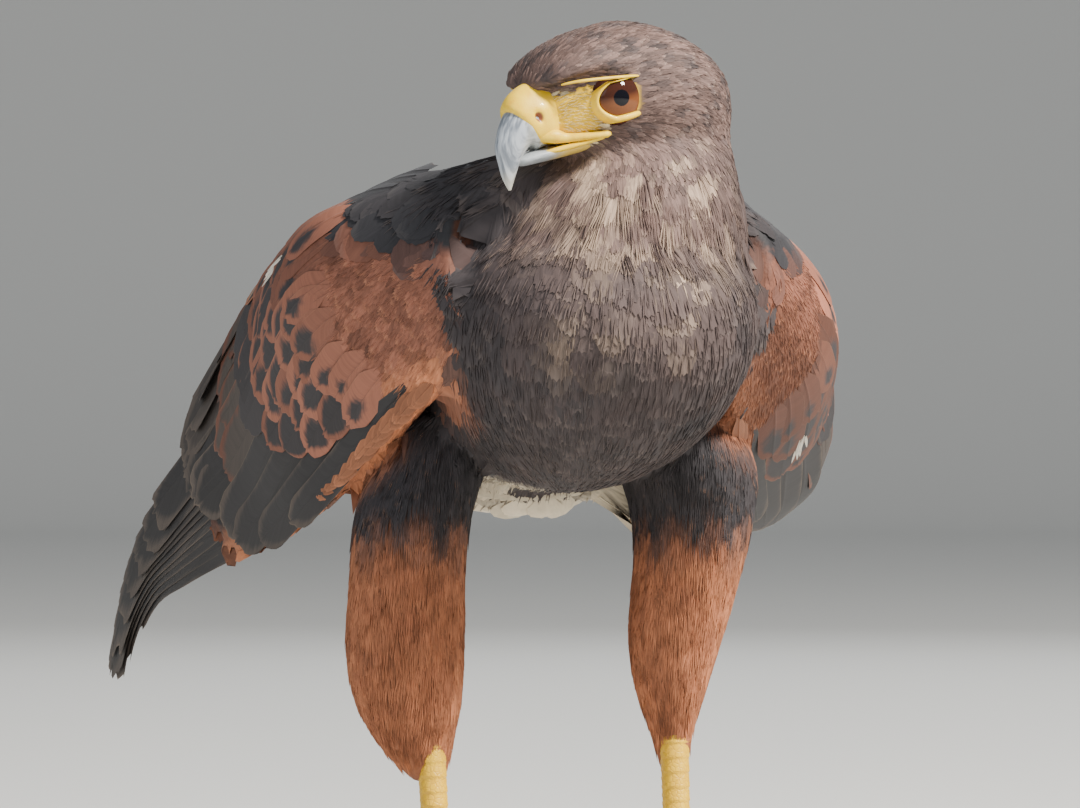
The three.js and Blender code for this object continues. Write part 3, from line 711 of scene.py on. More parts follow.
SPREADING_ROUNDS = 10
owner, chart = remember(spots)
own_part = (owner[:, None] == np.arange(len(PARTS))).astype(float)
near = spread(skin.data, own_part, SPREADING_ROUNDS)
near = dict(zip(PARTS, near.T))
near["thigh"] = near["thigh_right"] + near["thigh_left"]
near["arm"] = near["arm_right"] + near["arm_left"]
near["head"] = near["head"] + near["brow"]
near["trunk"] = near["trunk"] + near["hunch"]
print({part: int((share > 0.5).sum()) for part, share in near.items()})

# %% [markdown]
# ## The lie of the coat
# Feathers grow away from the bill, down the neck and breast, back along the trunk, and
# down the thighs. One direction is written for each part, mixed by the parts' weights,
# and laid flat on the skin.

# %% Directions and regions
forward, sideways, upward = head_axes(spots)
x, y, z = spots.T
out_side = np.abs(sideways)


def lie_of_coat():
    back = smooth_step(-60, 30, y)[:, None]
    fall = np.stack([0.22 * x / 50, 0.3 + 0 * x, -1 + 0 * x], -1)
    trunk_way = (1 - back) * fall + back * np.array([0, 1, -0.22])
    droop = smooth_step(-2, -40, forward)[:, None]
    under = smooth_step(-4, -18, upward)[:, None]
    ways = {
        "trunk": trunk_way,
        "neck": trunk_way + np.array([0, 0.1, -0.4]),
        "head": -BILL - (0.9 * droop + 0.5 * under) * CROWN,
        "thigh": np.array([0, 0.12, -1]) + 0 * spots,
        "arm": np.array([0, 1, -0.45]) + 0 * spots,
        "tail_flesh": Y + 0 * spots,
        "vent": Y - 0.1 * Z + 0 * spots,
        "rump": Y - 0.2 * Z + 0 * spots,
    }
    way = sum(near[part][:, None] * unit(w) for part, w in ways.items())
    return unit(way - (way * normals).sum(-1, keepdims=True) * normals)


lie = lie_of_coat()
print("the coat lies on the whole along", lie.mean(axis=0).round(2))

# %% [markdown]
# Round the eye and between eye and bill the skin is bare and yellow. The bare patch is an
# oval round the eye, cut off behind it, and a band that narrows towards the bill.

# %% Bare face
EYE_MIDDLE, EYE_LEVEL = -2.5, -0.3
BARE_LONG, BARE_HIGH = 8.0, 4.9
LORES_LEVEL, LORES_HALF, MOUTH_LEVEL = -2.6, 8.2, -10.5
eye_gap = np.hypot((forward - EYE_MIDDLE) / BARE_LONG, (upward - EYE_LEVEL) / BARE_HIGH)
bare_eye = smooth_step(1.06, 0.92, eye_gap) * (out_side > 8) * smooth_step(-7.0, -5.0, forward)
band = LORES_HALF - 0.12 * np.clip(forward - 8, 0, 12)
from_lores = np.abs(upward - LORES_LEVEL)
lores = smooth_step(4.0, 7.0, forward) * smooth_step(band + 1, band - 1, from_lores)
on_face = (near["head"] > 0.4) * (upward > MOUTH_LEVEL)
bare_face = np.clip(bare_eye + lores, 0, 1) * on_face
print("bare vertices of the face", int((bare_face > 0.5).sum()))

# %% [markdown]
# ## Markings
# The coat is chocolate-grey, paler on throat and breast where buff streaks show, rust on
# the shoulders and the trousers, cream under the tail and over its root. The markings are
# painted once, as colours on the skin, and each feather picks up the colour at its root.

# %% Colours
DARK = np.array([0.037, 0.032, 0.034])
SLATE = np.array([0.025, 0.024, 0.027])
BROWN = np.array([0.132, 0.082, 0.069])
BUFF = np.array([0.44, 0.32, 0.23])
RUST = np.array([0.37, 0.140, 0.066])
DEEP_RUST = np.array([0.22, 0.078, 0.040])
WING_RUST = np.array([0.225, 0.088, 0.056])
CREAM = np.array([0.66, 0.58, 0.44])
YELLOW = np.array([0.84, 0.52, 0.01])
PALE_HAIR = np.array([0.88, 0.76, 0.45])


def patches(points, size, seed):
    """Soft random patches over the body, from 0 to 1."""
    rng = np.random.default_rng(seed)
    total = np.zeros(len(points))
    for _ in range(14):
        way = unit(rng.normal(size=3)) * 2 * np.pi / (size * rng.uniform(0.6, 1.6))
        total += np.sin(points @ way + rng.uniform(0, 6.28))
    return np.clip(0.5 + total / 9, 0, 1)


def over(base, colour, share):
    return base + (colour - base) * share[:, None]


def blot(centre, reach):
    """A soft round patch of the coat, 1 at its middle."""
    away = np.linalg.norm((spots - centre) / reach, axis=1)
    return smooth_step(1.0, 0.3, away)


# %% [markdown]
# Each vertex of an arm knows its place along and across the wing, because rust there
# gives way to slate towards the upper edge. Elsewhere the height stands in for it.

# %% Place on the wing
def place_on_wing():
    """Place along and across the wing of each vertex, found from the nearest ring point."""
    place = np.stack([0 * z, smooth_step(185, 200, z)], -1)
    for part, side in (("arm_right", -1), ("arm_left", 1)):
        grid = PARTS[part]
        steps, round_it = grid.shape[:2]
        i, j = np.meshgrid(np.linspace(0, ARM_REACH, steps), np.linspace(0, 2, round_it), indexing="ij")
        v = np.where(j > 1, 2 - j, j)
        own = owner == list(PARTS).index(part)
        tree = KDTree(steps * round_it)
        for k, p in enumerate(grid.reshape(-1, 3)):
            tree.insert(p, k)
        tree.balance()
        nearest = np.array([tree.find(p)[1] for p in spots[own]])
        place[own] = np.stack([i.ravel()[nearest], v.ravel()[nearest]], -1)
    return place


wing_place = place_on_wing()
wing_across = wing_place[:, 1]
print("vertices of the arms", int((near["arm"] > 0.5).sum()))

# %% [markdown]
# Trunk, neck and head are painted first. Then thighs, wings and tail end are laid over
# them. Patches of several sizes keep most borders ragged.

# %% Paint the markings
EDGE_BACK = [-56, -42, -30, -15, 0, 30, 60, 80]
EDGE_ACROSS = [0.52, 0.60, 0.65, 0.70, 0.71, 0.75, 0.82, 0.88]


def rust_edge(y):
    """Place across the wing where rust gives way to the dark mantle."""
    return np.interp(y, EDGE_BACK, EDGE_ACROSS)


def paint_body():
    mottle = patches(spots, 14, 3)
    colour = over(np.tile(DARK, (len(spots), 1)), BROWN, 0.16 * mottle)
    front = near["trunk"] + near["neck"]
    breast = front * smooth_step(-30, -70, y)
    centre = breast * np.exp(-(((x - 4) / 30) ** 2)) * smooth_step(178, 214, z + 8 * (mottle - 0.5))
    colour = over(colour, BROWN, 0.30 * centre)
    throat = smooth_step(-32, -4, x) * smooth_step(40, 16, x)
    # Painted light: head and upper throat, where the sun falls, are painted a lighter brown.
    painted_sunlight = near["head"] + near["neck"] * smooth_step(222, 240, z) * (0.35 + 0.5 * throat)
    colour = over(colour, BROWN, 0.85 * np.clip(painted_sunlight, 0, 1))
    fleck = patches(spots, 6, 4)
    colour = over(colour, DARK, 0.7 * near["head"] * smooth_step(0.5, 0.9, fleck))
    collar = breast * smooth_step(216, 236, z) * smooth_step(0.35, 0.8, patches(spots, 7, 6))
    colour = over(colour, BUFF * 0.85, 0.8 * collar * throat)
    tuft = blot((11, -88, 217), (6, 34, 17)) * smooth_step(0.35, 0.75, patches(spots, 4, 12))
    colour = over(colour, BUFF, 0.7 * tuft)
    streaks = patches(spots * (1.6, 1, 0.4), 7, 14)
    folds = blot((-14, -88, 206), (17, 34, 15)) * smooth_step(0.3, 0.8, streaks)
    colour = over(colour, BUFF * 0.7, 0.4 * folds)
    back = front * smooth_step(0.1, 0.5, normals[:, 2]) * smooth_step(-60, -20, y)
    # Slate on the rise between the shoulders is its own colour. Slate on the front of the breast's right
    # side is a painted shadow of the head.
    hunch = np.clip(near["hunch"] + front * smooth_step(-24, -40, x) * smooth_step(-75, -60, y), 0, 1)
    colour = over(colour, SLATE, 0.85 * back)
    return over(colour, SLATE, 0.4 * hunch)


def paint_markings():
    colour = paint_body()
    ragged = 9 * (patches(spots, 9, 5) - 0.5)
    trousers = near["thigh"] * smooth_step(147, 128, z + ragged)
    # Upper thighs painted slate: partly dark flank feathers over them, partly painted shadow of the body on
    # the thigh tops.
    colour = over(colour, SLATE * 1.2, 0.6 * near["thigh"] * smooth_step(130, 145, z))
    colour = over(colour, RUST, trousers)
    colour = over(colour, DEEP_RUST, 0.6 * trousers * patches(spots, 11, 8))
    gap = wing_across + 0.05 * (patches(spots, 9, 7) - 0.5) - rust_edge(y)
    shoulder = near["arm"] * smooth_step(0.03, -0.03, gap)
    colour = over(colour, SLATE, near["arm"])
    colour = over(colour, WING_RUST, shoulder * smooth_step(105, 80, y))
    colour = over(colour, WING_RUST * 0.5, 0.8 * shoulder * smooth_step(0.35, 0.9, patches(spots, 9, 9)))
    wrist = shoulder * smooth_step(0.2, 0.06, wing_across)
    colour = over(colour, RUST * 1.4, wrist)
    colour = over(colour, CREAM, np.clip(near["vent"] * 1.6, 0, 1) * smooth_step(8, 26, y))
    flank = blot((-16, 6, 150), (15, 40, 9))
    colour = over(colour, CREAM, flank * smooth_step(0.2, 0.5, -normals[:, 2]))
    # Painted shade: the lower part of the left arm is painted a dark rust.
    painted_shade_left_arm = near["arm"] * smooth_step(10, 40, x) * smooth_step(0.55, 0.3, wing_across)
    colour = over(colour, DEEP_RUST * 0.45, 0.8 * painted_shade_left_arm)
    inner = near["arm"] * smooth_step(-0.05, -0.45, normals[:, 0] * np.sign(x))
    colour = over(colour, DEEP_RUST * 0.55, 0.85 * inner)
    return over(colour, CREAM, np.clip(near["rump"] * 1.3, 0, 1) * smooth_step(112, 124, y))


tint = paint_markings()
skin_tint = over(tint, YELLOW, bare_face)
bristly = smooth_step(3.0, 6.0, upward - 0.2 * (forward - 14))
hair = over(np.tile(PALE_HAIR, (len(spots), 1)), SLATE, bristly)
tint = over(tint, hair, lores)
print("mean colour of the coat", tint.mean(axis=0).round(3))
set_values(skin, "lie", "FLOAT_VECTOR", lie)
set_values(skin, "tint", "FLOAT_COLOR", tint)
set_values(skin, "bare_tint", "FLOAT_COLOR", skin_tint)
set_values(skin, "chart", "FLOAT2", chart)

# %% [markdown]
# ## Small feathers
# A body feather is a broad flat vane whose barbs come apart at the tip. Hair-like
# feathers, as on throat and trousers, are little more than a bundle of fine blades. Both
# are drawn once at length one, flat, as closed shapes of few faces, because each is used
# thousands of times. The number called rise says how high a point lies over the flat.

# %% Feather shapes
def fan(rim, middle, thick):
    """A closed flat shape: a rim of points with one point over it and one under it."""
    rim = [list(p) for p in rim]
    count = len(rim)
    points = rim + [[*middle, thick], [*middle, -0.3 * thick]]
    faces = [[k, (k + 1) % count, count] for k in range(count)]
    faces += [[(k + 1) % count, k, count + 1] for k in range(count)]
    return points, faces


def blade(base, tip, wide, thick):
    """A fine pointed barb of eight faces."""
    base, tip = np.array(base, float), np.array(tip, float)
    way = tip - base
    across = unit(np.array([way[1], -way[0], 0])) * wide
    wide_at = base + 0.4 * way
    rim = [base, wide_at + across, tip, wide_at - across]
    return fan([list(p) for p in rim], (base + 0.38 * way)[:2], thick + wide_at[2])


def soft_vane(seed, teeth, deep, broad=0.5):
    """A broad vane with an uneven fringe of fine points round its far half."""
    rng = np.random.default_rng(seed)
    rim = [[-0.08, 0, 0], [-0.7 * broad, 0.22, 0], [-0.98 * broad, 0.45, 0]]
    for k in range(2 * teeth + 1):
        angle = math.pi * (1 - k / (2 * teeth))
        reach = 1 + rng.uniform(-0.06, 0.05) if k % 2 else 1 - deep * rng.uniform(0.7, 1.2)
        lean = rng.uniform(-0.02, 0.02)
        across = broad * math.cos(angle) * (0.5 + 0.5 * reach) + lean
        rim.append([across, 0.5 + 0.5 * reach * math.sin(angle), 0])
    rim += [[0.98 * broad, 0.45, 0], [0.7 * broad, 0.22, 0], [0.08, 0, 0]]
    return fan(rim[::-1], (0, 0.5), 0.012)


def shape(name, parts):
    """One feather from several closed parts, with a map across and along it."""
    points, faces = [], []
    for own, own_faces in parts:
        faces += [[k + len(points) for k in face] for face in own_faces]
        points += [list(p) for p in own]
    made = piece(name, points, faces, metres=True)
    made.data.set_sharp_from_angle(angle=math.radians(70))
    places = np.array(points)
    set_map(made, "plume", np.stack([0.5 + places[:, 0], places[:, 1]], -1))
    set_values(made, "rise", "FLOAT", places[:, 2])
    bpy.context.scene.collection.objects.unlink(made)
    return made


def broad_feather(name, seed, teeth, deep, strays):
    """A vane with a few loose barbs beyond its tip."""
    rng = np.random.default_rng(seed)
    parts = [soft_vane(seed, teeth, deep)]
    for s in rng.uniform(-0.8, 0.8, strays):
        tip_x = 0.5 * s + rng.uniform(-0.05, 0.05)
        tip_y = 1.12 - 0.3 * s * s + rng.uniform(-0.05, 0.05)
        parts.append(blade((0.34 * s, 0.6, 0.01), (tip_x, tip_y, 0.02), 0.022, 0.012))
    return shape(name, parts)


def hair_feather(name, seed, count, spread_out, fine):
    """A bundle of fine blades."""
    rng = np.random.default_rng(seed)
    parts = []
    for k in range(count):
        s = (k + 0.5) / count * 2 - 1
        base = (0.25 * s, rng.uniform(0, 0.2), rng.uniform(0, 0.02))
        tip_x = spread_out * s + rng.uniform(-0.12, 0.12)
        tip_y = 1 - 0.2 * s * s + rng.uniform(-0.2, 0.08)
        parts.append(blade(base, (tip_x, tip_y, 0.02), fine, 0.03))
    return shape(name, parts)


def feather_set(name, draw, count, first_seed, *form):
    """A collection of shapes of one kind, from which each root picks one."""
    box = bpy.data.collections.new(name + "_feathers")
    for k in range(count):
        box.objects.link(draw(f"{name}_{k}", first_seed + k, *form))
    return box


broad_set = feather_set("broad", broad_feather, 4, 0, 10, 0.16, 3)
sleek_set = feather_set("sleek", broad_feather, 4, 10, 5, 0.2, 1)
smooth_set = feather_set("smooth", broad_feather, 3, 20, 9, 0.06, 0)
hair_set = feather_set("hair", hair_feather, 4, 30, 7, 0.5, 0.045)
bristle_set = feather_set("bristle", hair_feather, 3, 40, 3, 0.5, 0.07)

# %% [markdown]
# ## Scattering the coat
# Geometry Nodes spread roots over the skin, never closer together than a given spacing,
# and lay a flat feather on each, pointing along the lie. A flat feather would stick out
# of a round body like a scale on a pine cone. So once the instances are real, each of
# their points is moved to the nearest place of the skin, plus its own small height: the
# feather then bends round the body as a real one does. A number on the skin called cling
# says how closely, and where it is low the tips hang free. Points that stand some two
# centimetres off the skin are moved less or not at all. Each feather's chart place is a
# small patch round its root. Lengths here are in metres.

# %% The scattering tree
PATCH = 0.003
CLING_FULL, CLING_NONE = 0.018, 0.026
CROWDING = 2.2


class Scatter(Tree):
    """A tree of nodes that grows one piece of the coat."""

    def __init__(self, name, inputs):
        super().__init__(bpy.data.node_groups.new(name, "GeometryNodeTree"))
        for word, kind in inputs.items():
            self.nodes.interface.new_socket(word, in_out="INPUT", socket_type="NodeSocket" + kind)
        self.nodes.interface.new_socket("Coat", in_out="OUTPUT", socket_type="NodeSocketGeometry")
        self.given = self.node("NodeGroupInput")

    def named(self, name, kind="FLOAT"):
        return self.node("GeometryNodeInputNamedAttribute", {"data_type": kind}, {"Name": name})["Attribute"]

    def chance(self, low, high, extra):
        values = {2: low, 3: high, "Seed": self.given["Seed"] + extra}
        return self.node("FunctionNodeRandomValue", {"data_type": "FLOAT"}, values)[1]

    def pick(self, last, extra):
        values = {4: 0, 5: last, "Seed": self.given["Seed"] + extra}
        return self.node("FunctionNodeRandomValue", {"data_type": "INT"}, values)[2]

    def store(self, geometry, name, kind, domain, value):
        settings = {"data_type": kind, "domain": domain}
        values = {"Geometry": geometry, "Name": name, "Value": value}
        return self.node("GeometryNodeStoreNamedAttribute", settings, values)["Geometry"]

    def vector_sum(self, operation, values):
        return self.node("ShaderNodeVectorMath", {"operation": operation}, values)["Vector"]

    def add(self, first, second):
        return self.vector_sum("ADD", {0: first, 1: second})

    def scaled(self, vector, factor):
        return self.vector_sum("SCALE", {0: vector, "Scale": factor})


INPUTS = {
    "Skin": "Geometry",
    "Spacing": "Float",
    "Length": "Float",
    "Width": "Float",
    "Lift": "Float",
    "Mess": "Float",
    "Seed": "Int",
    "Look": "Material",
}


def rooted(tree, cover):
    """Points on the skin, each with its own shade, length and lift."""
    given = tree.given
    values = {
        "Mesh": given["Skin"],
        "Distance Min": given["Spacing"],
        "Density Max": CROWDING / (given["Spacing"] * given["Spacing"]),
        "Density Factor": tree.named(cover),
        "Seed": given["Seed"],
    }
    settings = {"distribute_method": "POISSON"}
    roots = tree.node("GeometryNodeDistributePointsOnFaces", settings, values)
    points = tree.store(roots["Points"], "shade", "FLOAT", "POINT", tree.chance(0.0, 1.0, 1))
    long = given["Length"] * tree.named("size") * tree.chance(0.8, 1.2, 6)
    points = tree.store(points, "long", "FLOAT", "POINT", long)
    points = tree.store(points, "lift", "FLOAT", "POINT", given["Lift"] * tree.chance(0.7, 1.3, 5))
    return points, roots["Normal"]


def laid(tree, points, out, shapes):
    """A real flat feather on every point."""
    given = tree.given
    stray = tree.vector(*[tree.chance(-1.0, 1.0, extra) for extra in (2, 3, 4)])
    way = tree.add(tree.named("lie", "FLOAT_VECTOR"), tree.scaled(stray, given["Mess"]))
    way = tree.add(way, tree.scaled(out, tree.named("lift")))
    turned = tree.node(
        "FunctionNodeAxesToRotation",
        {"primary_axis": "Y", "secondary_axis": "Z"},
        {"Primary Axis": way, "Secondary Axis": out},
    )
    wide = given["Width"] * tree.named("size") * tree.chance(0.8, 1.2, 7)
    settings = {"transform_space": "ORIGINAL"}
    values = {"Collection": shapes, "Separate Children": True, "Reset Children": True}
    chosen = tree.node("GeometryNodeCollectionInfo", settings, values)
    values = {
        "Points": points,
        "Instance": chosen["Instances"],
        "Pick Instance": True,
        "Instance Index": tree.pick(len(shapes.objects) - 1, 8),
        "Rotation": turned["Rotation"],
        "Scale": tree.vector(wide, tree.named("long"), tree.named("long")),
    }
    stood = tree.node("GeometryNodeInstanceOnPoints", {}, values)
    return tree.node("GeometryNodeRealizeInstances", {}, {"Geometry": stood["Instances"]})["Geometry"]


def bent(tree, feathers):
    """The feathers, bent round the skin by how far each part of it clings."""
    skin_shape = tree.given["Skin"]
    here = tree.node("GeometryNodeInputPosition")["Position"]
    nearest = tree.node("GeometryNodeProximity", {"target_element": "FACES"}, {0: skin_shape})
    on_skin = nearest["Position"]
    close = 1 - tree.between(CLING_FULL, CLING_NONE, nearest["Distance"])
    normal = tree.node("GeometryNodeInputNormal")["Normal"]
    settings = {"data_type": "FLOAT_VECTOR"}
    values = {"Mesh": skin_shape, "Value": normal}
    out = tree.node("GeometryNodeSampleNearestSurface", settings, values)["Value"]
    along = tree.node("ShaderNodeSeparateXYZ", {}, {0: tree.named("plume", "FLOAT_VECTOR")})["Y"]
    high = tree.named("long") * (tree.named("rise") + tree.named("lift") * along)
    settings = {"data_type": "VECTOR"}
    values = {0: tree.named("cling") * close, 4: here, 5: tree.add(on_skin, tree.scaled(out, high))}
    place = tree.node("ShaderNodeMix", settings, values)[1]
    return tree.node("GeometryNodeSetPosition", {}, {"Geometry": feathers, "Position": place})["Geometry"]


def scatter_tree(shapes, cover):
    """The whole tree: roots, feathers, their bend, their chart place and their material."""
    tree = Scatter("scatter_" + cover, INPUTS)
    points, out = rooted(tree, cover)
    feathers = bent(tree, laid(tree, points, out, shapes))
    half = tree.vector(0.5, 0.5)
    centred = tree.vector_sum("SUBTRACT", {0: tree.named("plume", "FLOAT_VECTOR"), 1: half})
    moved = tree.add(tree.named("chart", "FLOAT_VECTOR"), tree.scaled(centred, PATCH))
    mapped = tree.store(feathers, "OFBake", "FLOAT2", "CORNER", moved)
    values = {"Geometry": mapped, "Material": tree.given["Look"]}
    dressed = tree.node("GeometryNodeSetMaterial", {}, values)
    tree.node("NodeGroupOutput", {}, {"Coat": dressed["Geometry"]})
    return tree.nodes


# %% [markdown]
# One call grows one piece of the coat. The modifier's inputs are set before it is first
# run, its result becomes a plain mesh, and the helper attributes are dropped.

# %% Grow a piece of the coat
KEPT = ("position", "material_index", "sharp_edge", "sharp_face", "tint", "shade", "plume", "OFBake")


def grow(name, cover, shapes, look, spacing, length, width, lift, mess, seed):
    """One piece of the coat where cover is above 0. Spacing, length and width are in mm."""
    set_values(skin, "cover_" + name, "FLOAT", cover)
    nodes = scatter_tree(shapes, "cover_" + name)
    carrier = bpy.data.objects.new(name, skin.data)
    bpy.context.scene.collection.objects.link(carrier)
    modifier = carrier.modifiers.new("Coat", "NODES")
    modifier.node_group = nodes
    given = {"Spacing": spacing / 1000, "Length": length / 1000, "Width": width / 1000}
    given.update({"Lift": lift, "Mess": mess, "Seed": seed, "Look": look})
    for item in nodes.interface.items_tree:
        if item.in_out == "INPUT" and item.name in given:
            modifier[item.identifier] = given[item.name]
    graph = bpy.context.evaluated_depsgraph_get()
    mesh = bpy.data.meshes.new_from_object(carrier.evaluated_get(graph))
    carrier.modifiers.clear()
    carrier.data = mesh
    mesh.name = name
    helpers = [a.name for a in mesh.attributes if a.name not in KEPT and not a.name.startswith(".")]
    for helper in helpers:
        mesh.attributes.remove(mesh.attributes[helper])
    skin.data.attributes.remove(skin.data.attributes["cover_" + name])
    triangles = sum(len(p.vertices) - 2 for p in mesh.polygons)
    print(name, "has", triangles, "triangles")
    return carrier


# %% [markdown]
# ## How plumage shines
# A feather is matt. Its barbs show as fine streaks in colour and bump, that run along the
# shaft and slant outward. Each feather's own random number makes it a little lighter or
# darker than the next, and some have a pale rim.

# %% Plumage finish
def darkened(tree, colour, light):
    """A colour multiplied by a number."""
    settings = {"data_type": "RGBA", "blend_type": "MULTIPLY"}
    node = tree.node("ShaderNodeMix", settings, {0: 1.0, 6: colour, 7: tree.vector(light, light, light)})
    return node[2]


def across_and_along(tree):
    place = tree.node("ShaderNodeUVMap", {"uv_map": "plume"})["UV"]
    part = tree.node("ShaderNodeSeparateXYZ", {}, {0: place})
    return part["X"], part["Y"]


def barbs(tree, across, along, fineness, slant, extra):
    """Streaks along the barbs, from 0 to 1."""
    aside = abs(across - 0.5)
    line = (1 - slant) * (across - 0.5) + slant * (along - 0.6 * aside)
    place = tree.vector(line * fineness, along * 2.0 + extra * 37.0, extra * 11.0)
    return tree.noise(place, 1.0, 2.0, 0.6)


def paint_plumage(tree, pale, fineness, rim_share=0.3, streaky=1.2, slant=0.3, vary=0.3):
    across, along = across_and_along(tree)
    shade = tree.attribute("shade", "Fac")
    streak = barbs(tree, across, along, fineness, slant, shade)
    # The root end of each feather is painted darker, as painted shade under the feathers that overlap it.
    # Tone and streaks are the feather's own.
    light = 1 - 0.5 * vary + vary * shade + streaky * (streak - 0.5) + 0.22 * (along - 0.5)
    colour = darkened(tree, tree.attribute("tint"), light)
    edge = along + 0.3 * (streak - 0.5)
    rim = tree.between(0.78, 0.98, edge) * tree.between(0.35, 0.9, shade)
    colour = tree.mix(rim * rim_share, colour, pale)
    return {"Base Color": colour, "Normal": tree.bump(streak, 0.3, 0.0002)}


PLUMAGE = {"Roughness": 0.72, "Specular_IOR_Level": 0.25}


def plumage(name, pale, fineness, *rest):
    """A matt finish with a pale rim of its own colour."""
    paint = lambda tree: paint_plumage(tree, pale, fineness, *rest)
    return finish_look(name, paint, **PLUMAGE)


dark_look = plumage("dark_plumage", (0.16, 0.125, 0.11), 16.0, 0.3, 1.3)
head_look = plumage("head_plumage", (0.44, 0.33, 0.27), 7.0, 0.35, 2.0, 0.2, 0.8)
neck_look = plumage("neck_plumage", (0.36, 0.26, 0.20), 12.0, 0.35, 2.0, 0.2, 0.45)
back_look = plumage("back_plumage", (0.09, 0.08, 0.075), 22.0, 0.3, 0.8, 0.6)
rust_look = plumage("rust_plumage", (0.66, 0.33, 0.17), 7.0, 0.35, 1.6, 0.2, 0.6)
shoulder_look = plumage("shoulder_plumage", (0.45, 0.20, 0.11), 8.0, 0.4, 1.2, 0.4, 0.5)
cream_look = plumage("cream_plumage", (0.85, 0.80, 0.70), 7.0, 0.2, 0.5)


def paint_skin(tree):
    fleck = tree.noise(tree.place(), 900.0, 3.0)
    colour = darkened(tree, tree.attribute("bare_tint"), 0.6 + 0.4 * fleck)
    return {"Base Color": colour, "Normal": tree.bump(fleck, 0.5, 0.0004)}


skin_look = finish_look("skin_and_down", paint_skin, Roughness=0.7, Specular_IOR_Level=0.3)
skin.data.materials.append(skin_look)

# %% [markdown]
# ## The body's coat
# Feathers are smallest on the face and grow larger towards the back. The coat is made in
# several pieces by region, each with its own shape, spacing and size. At the end of the
# trousers and under the tail the tips hang a little free.

# %% Sizes and regions
size = 1 + 0.35 * smooth_step(-30, 60, y) * near["trunk"]
size = size * (1 - 0.45 * smooth_step(-22, 10, forward) * near["head"])
size = size * (1 - 0.45 * near["thigh"] * smooth_step(95, 66, z))
set_values(skin, "size", "FLOAT", size)
cling = 0.96 - 0.5 * near["thigh"] * smooth_step(80, 68, z) - 0.3 * near["vent"]
set_values(skin, "cling", "FLOAT", cling)
head_or_neck = near["neck"] + near["head"] > 0.5
on_head = (near["head"] > 0.5) | (head_or_neck & (z > 246 + 6 * (patches(spots, 12, 21) - 0.5)))
on_neck = head_or_neck & ~on_head
upper = smooth_step(0.0, 0.25, normals[:, 2]) * smooth_step(-45, -30, y) > 0.5
on_trunk = (near["trunk"] > 0.5) & ~on_neck & ~on_head
feathered = 1 - smooth_step(0.2, 0.6, bare_face)
BELLY_FROM = -10
VENT_FRONT, VENT_NARROW, VENT_WIDE = 60, 19, 40
vent_half = np.where(y < VENT_FRONT, VENT_NARROW, VENT_WIDE)
regions = {
    "head": on_head * feathered,
    "face": on_head * (bare_face > 0.6) * (eye_gap > 1.12) * (forward < 15.5),
    "neck": on_neck,
    "breast": on_trunk & ~upper & (y < BELLY_FROM),
    "belly": on_trunk & ~upper & (y >= BELLY_FROM),
    "back": on_trunk & upper & (near["rump"] < 0.5),
    "vent": (near["vent"] > 0.5) & (np.abs(x) < vent_half),
    "rump": near["rump"] > 0.5,
}
print({word: int((np.asarray(cover) > 0.5).sum()) for word, cover in regions.items()})

# %% [markdown]
# Each line names the piece, where it grows, its shapes and finish. Then come spacing,
# length and width, how far the tips lift, how untidy they lie and the seed of its chances.

# %% Grow the body's coat
coat = [
    grow("coat_head", regions["head"], sleek_set, head_look, 1.2, 6.6, 2.1, 0.06, 0.16, 1),
    grow("coat_face", regions["face"], bristle_set, cream_look, 0.72, 4.4, 0.9, 0.16, 0.3, 11),
    grow("coat_neck", regions["neck"], broad_set, neck_look, 1.9, 13, 5.0, 0.06, 0.16, 3),
    grow("coat_neck_hair", regions["neck"], hair_set, neck_look, 3.4, 15, 5.0, 0.08, 0.3, 13),
    grow("coat_breast", regions["breast"], broad_set, dark_look, 2.7, 19, 11, 0.035, 0.06, 4),
    grow("coat_belly", regions["belly"], broad_set, dark_look, 3.2, 18, 11, 0.04, 0.08, 5),
    grow("coat_back", regions["back"], smooth_set, back_look, 4.6, 21, 14, 0.045, 0.05, 6),
    grow("coat_vent", regions["vent"], smooth_set, cream_look, 3.6, 20, 12, 0.05, 0.06, 9),
    grow("coat_rump", regions["rump"], broad_set, cream_look, 3.4, 17, 10, 0.05, 0.06, 10),
]

# %% [markdown]
# Thigh and arm of each side follow. The arm has rust feathers in front, slate ones above
# the rust, and chestnut ones on its inner side. The last piece fills what lies between.

# %% Grow the coat of thighs and arms
THIGH_END, ARM_BACK, UNDER_FRONT, MANTLE_BACK = 65, 24, 20, 70


def grow_side(word, side, seed):
    """Coat of one thigh and of the folded arm above it."""
    thigh, arm = near["thigh_" + word] > 0.5, near["arm_" + word] > 0.5
    inner = normals[:, 0] * side < 0.1
    under = arm & (y >= UNDER_FRONT) & inner
    front = arm & (y < ARM_BACK) & (wing_across < rust_edge(y))
    above = arm & (y < MANTLE_BACK) & (wing_across >= rust_edge(y) - 0.02)
    thigh_form = (hair_set, rust_look, 1.75, 12, 4.6, 0.06, 0.12, seed)
    under_form = (smooth_set, shoulder_look, 4.2, 19, 11, 0.05, 0.06, seed + 30)
    front_form = (broad_set, shoulder_look, 1.9, 11, 5.0, 0.05, 0.08, seed + 10)
    above_form = (smooth_set, back_look, 3.4, 19, 12, 0.06, 0.05, seed + 20)
    return [
        grow("coat_thigh_" + word, thigh & (z > THIGH_END), *thigh_form),
        grow("coat_underwing_" + word, under, *under_form),
        grow("coat_arm_" + word, front, *front_form),
        grow("coat_mantle_" + word, above, *above_form),
    ]


coat += grow_side("right", -1, 7) + grow_side("left", 1, 8)
covered = sum(np.asarray(cover, float) for cover in regions.values()) > 0.3
for part in ("arm_right", "arm_left", "thigh_right", "thigh_left"):
    covered = covered | (near[part] > 0.5)
between = ~covered & (z > 150) & (bare_face < 0.1) & (y < 60)
coat.append(grow("coat_between", between, broad_set, dark_look, 2.6, 17, 10, 0.05, 0.08, 12))

# %% [markdown]
# ## Large wing feathers
# A flight feather is a stiff shaft with a narrow leading vane and a broad trailing vane.
# The vanes lie like a hand of cards: each one rolls over the next. A vane is a grid of
# points on the wing's surface, whose columns end on a rounded tip, given a thin thickness
# that runs out to nothing at the rim.

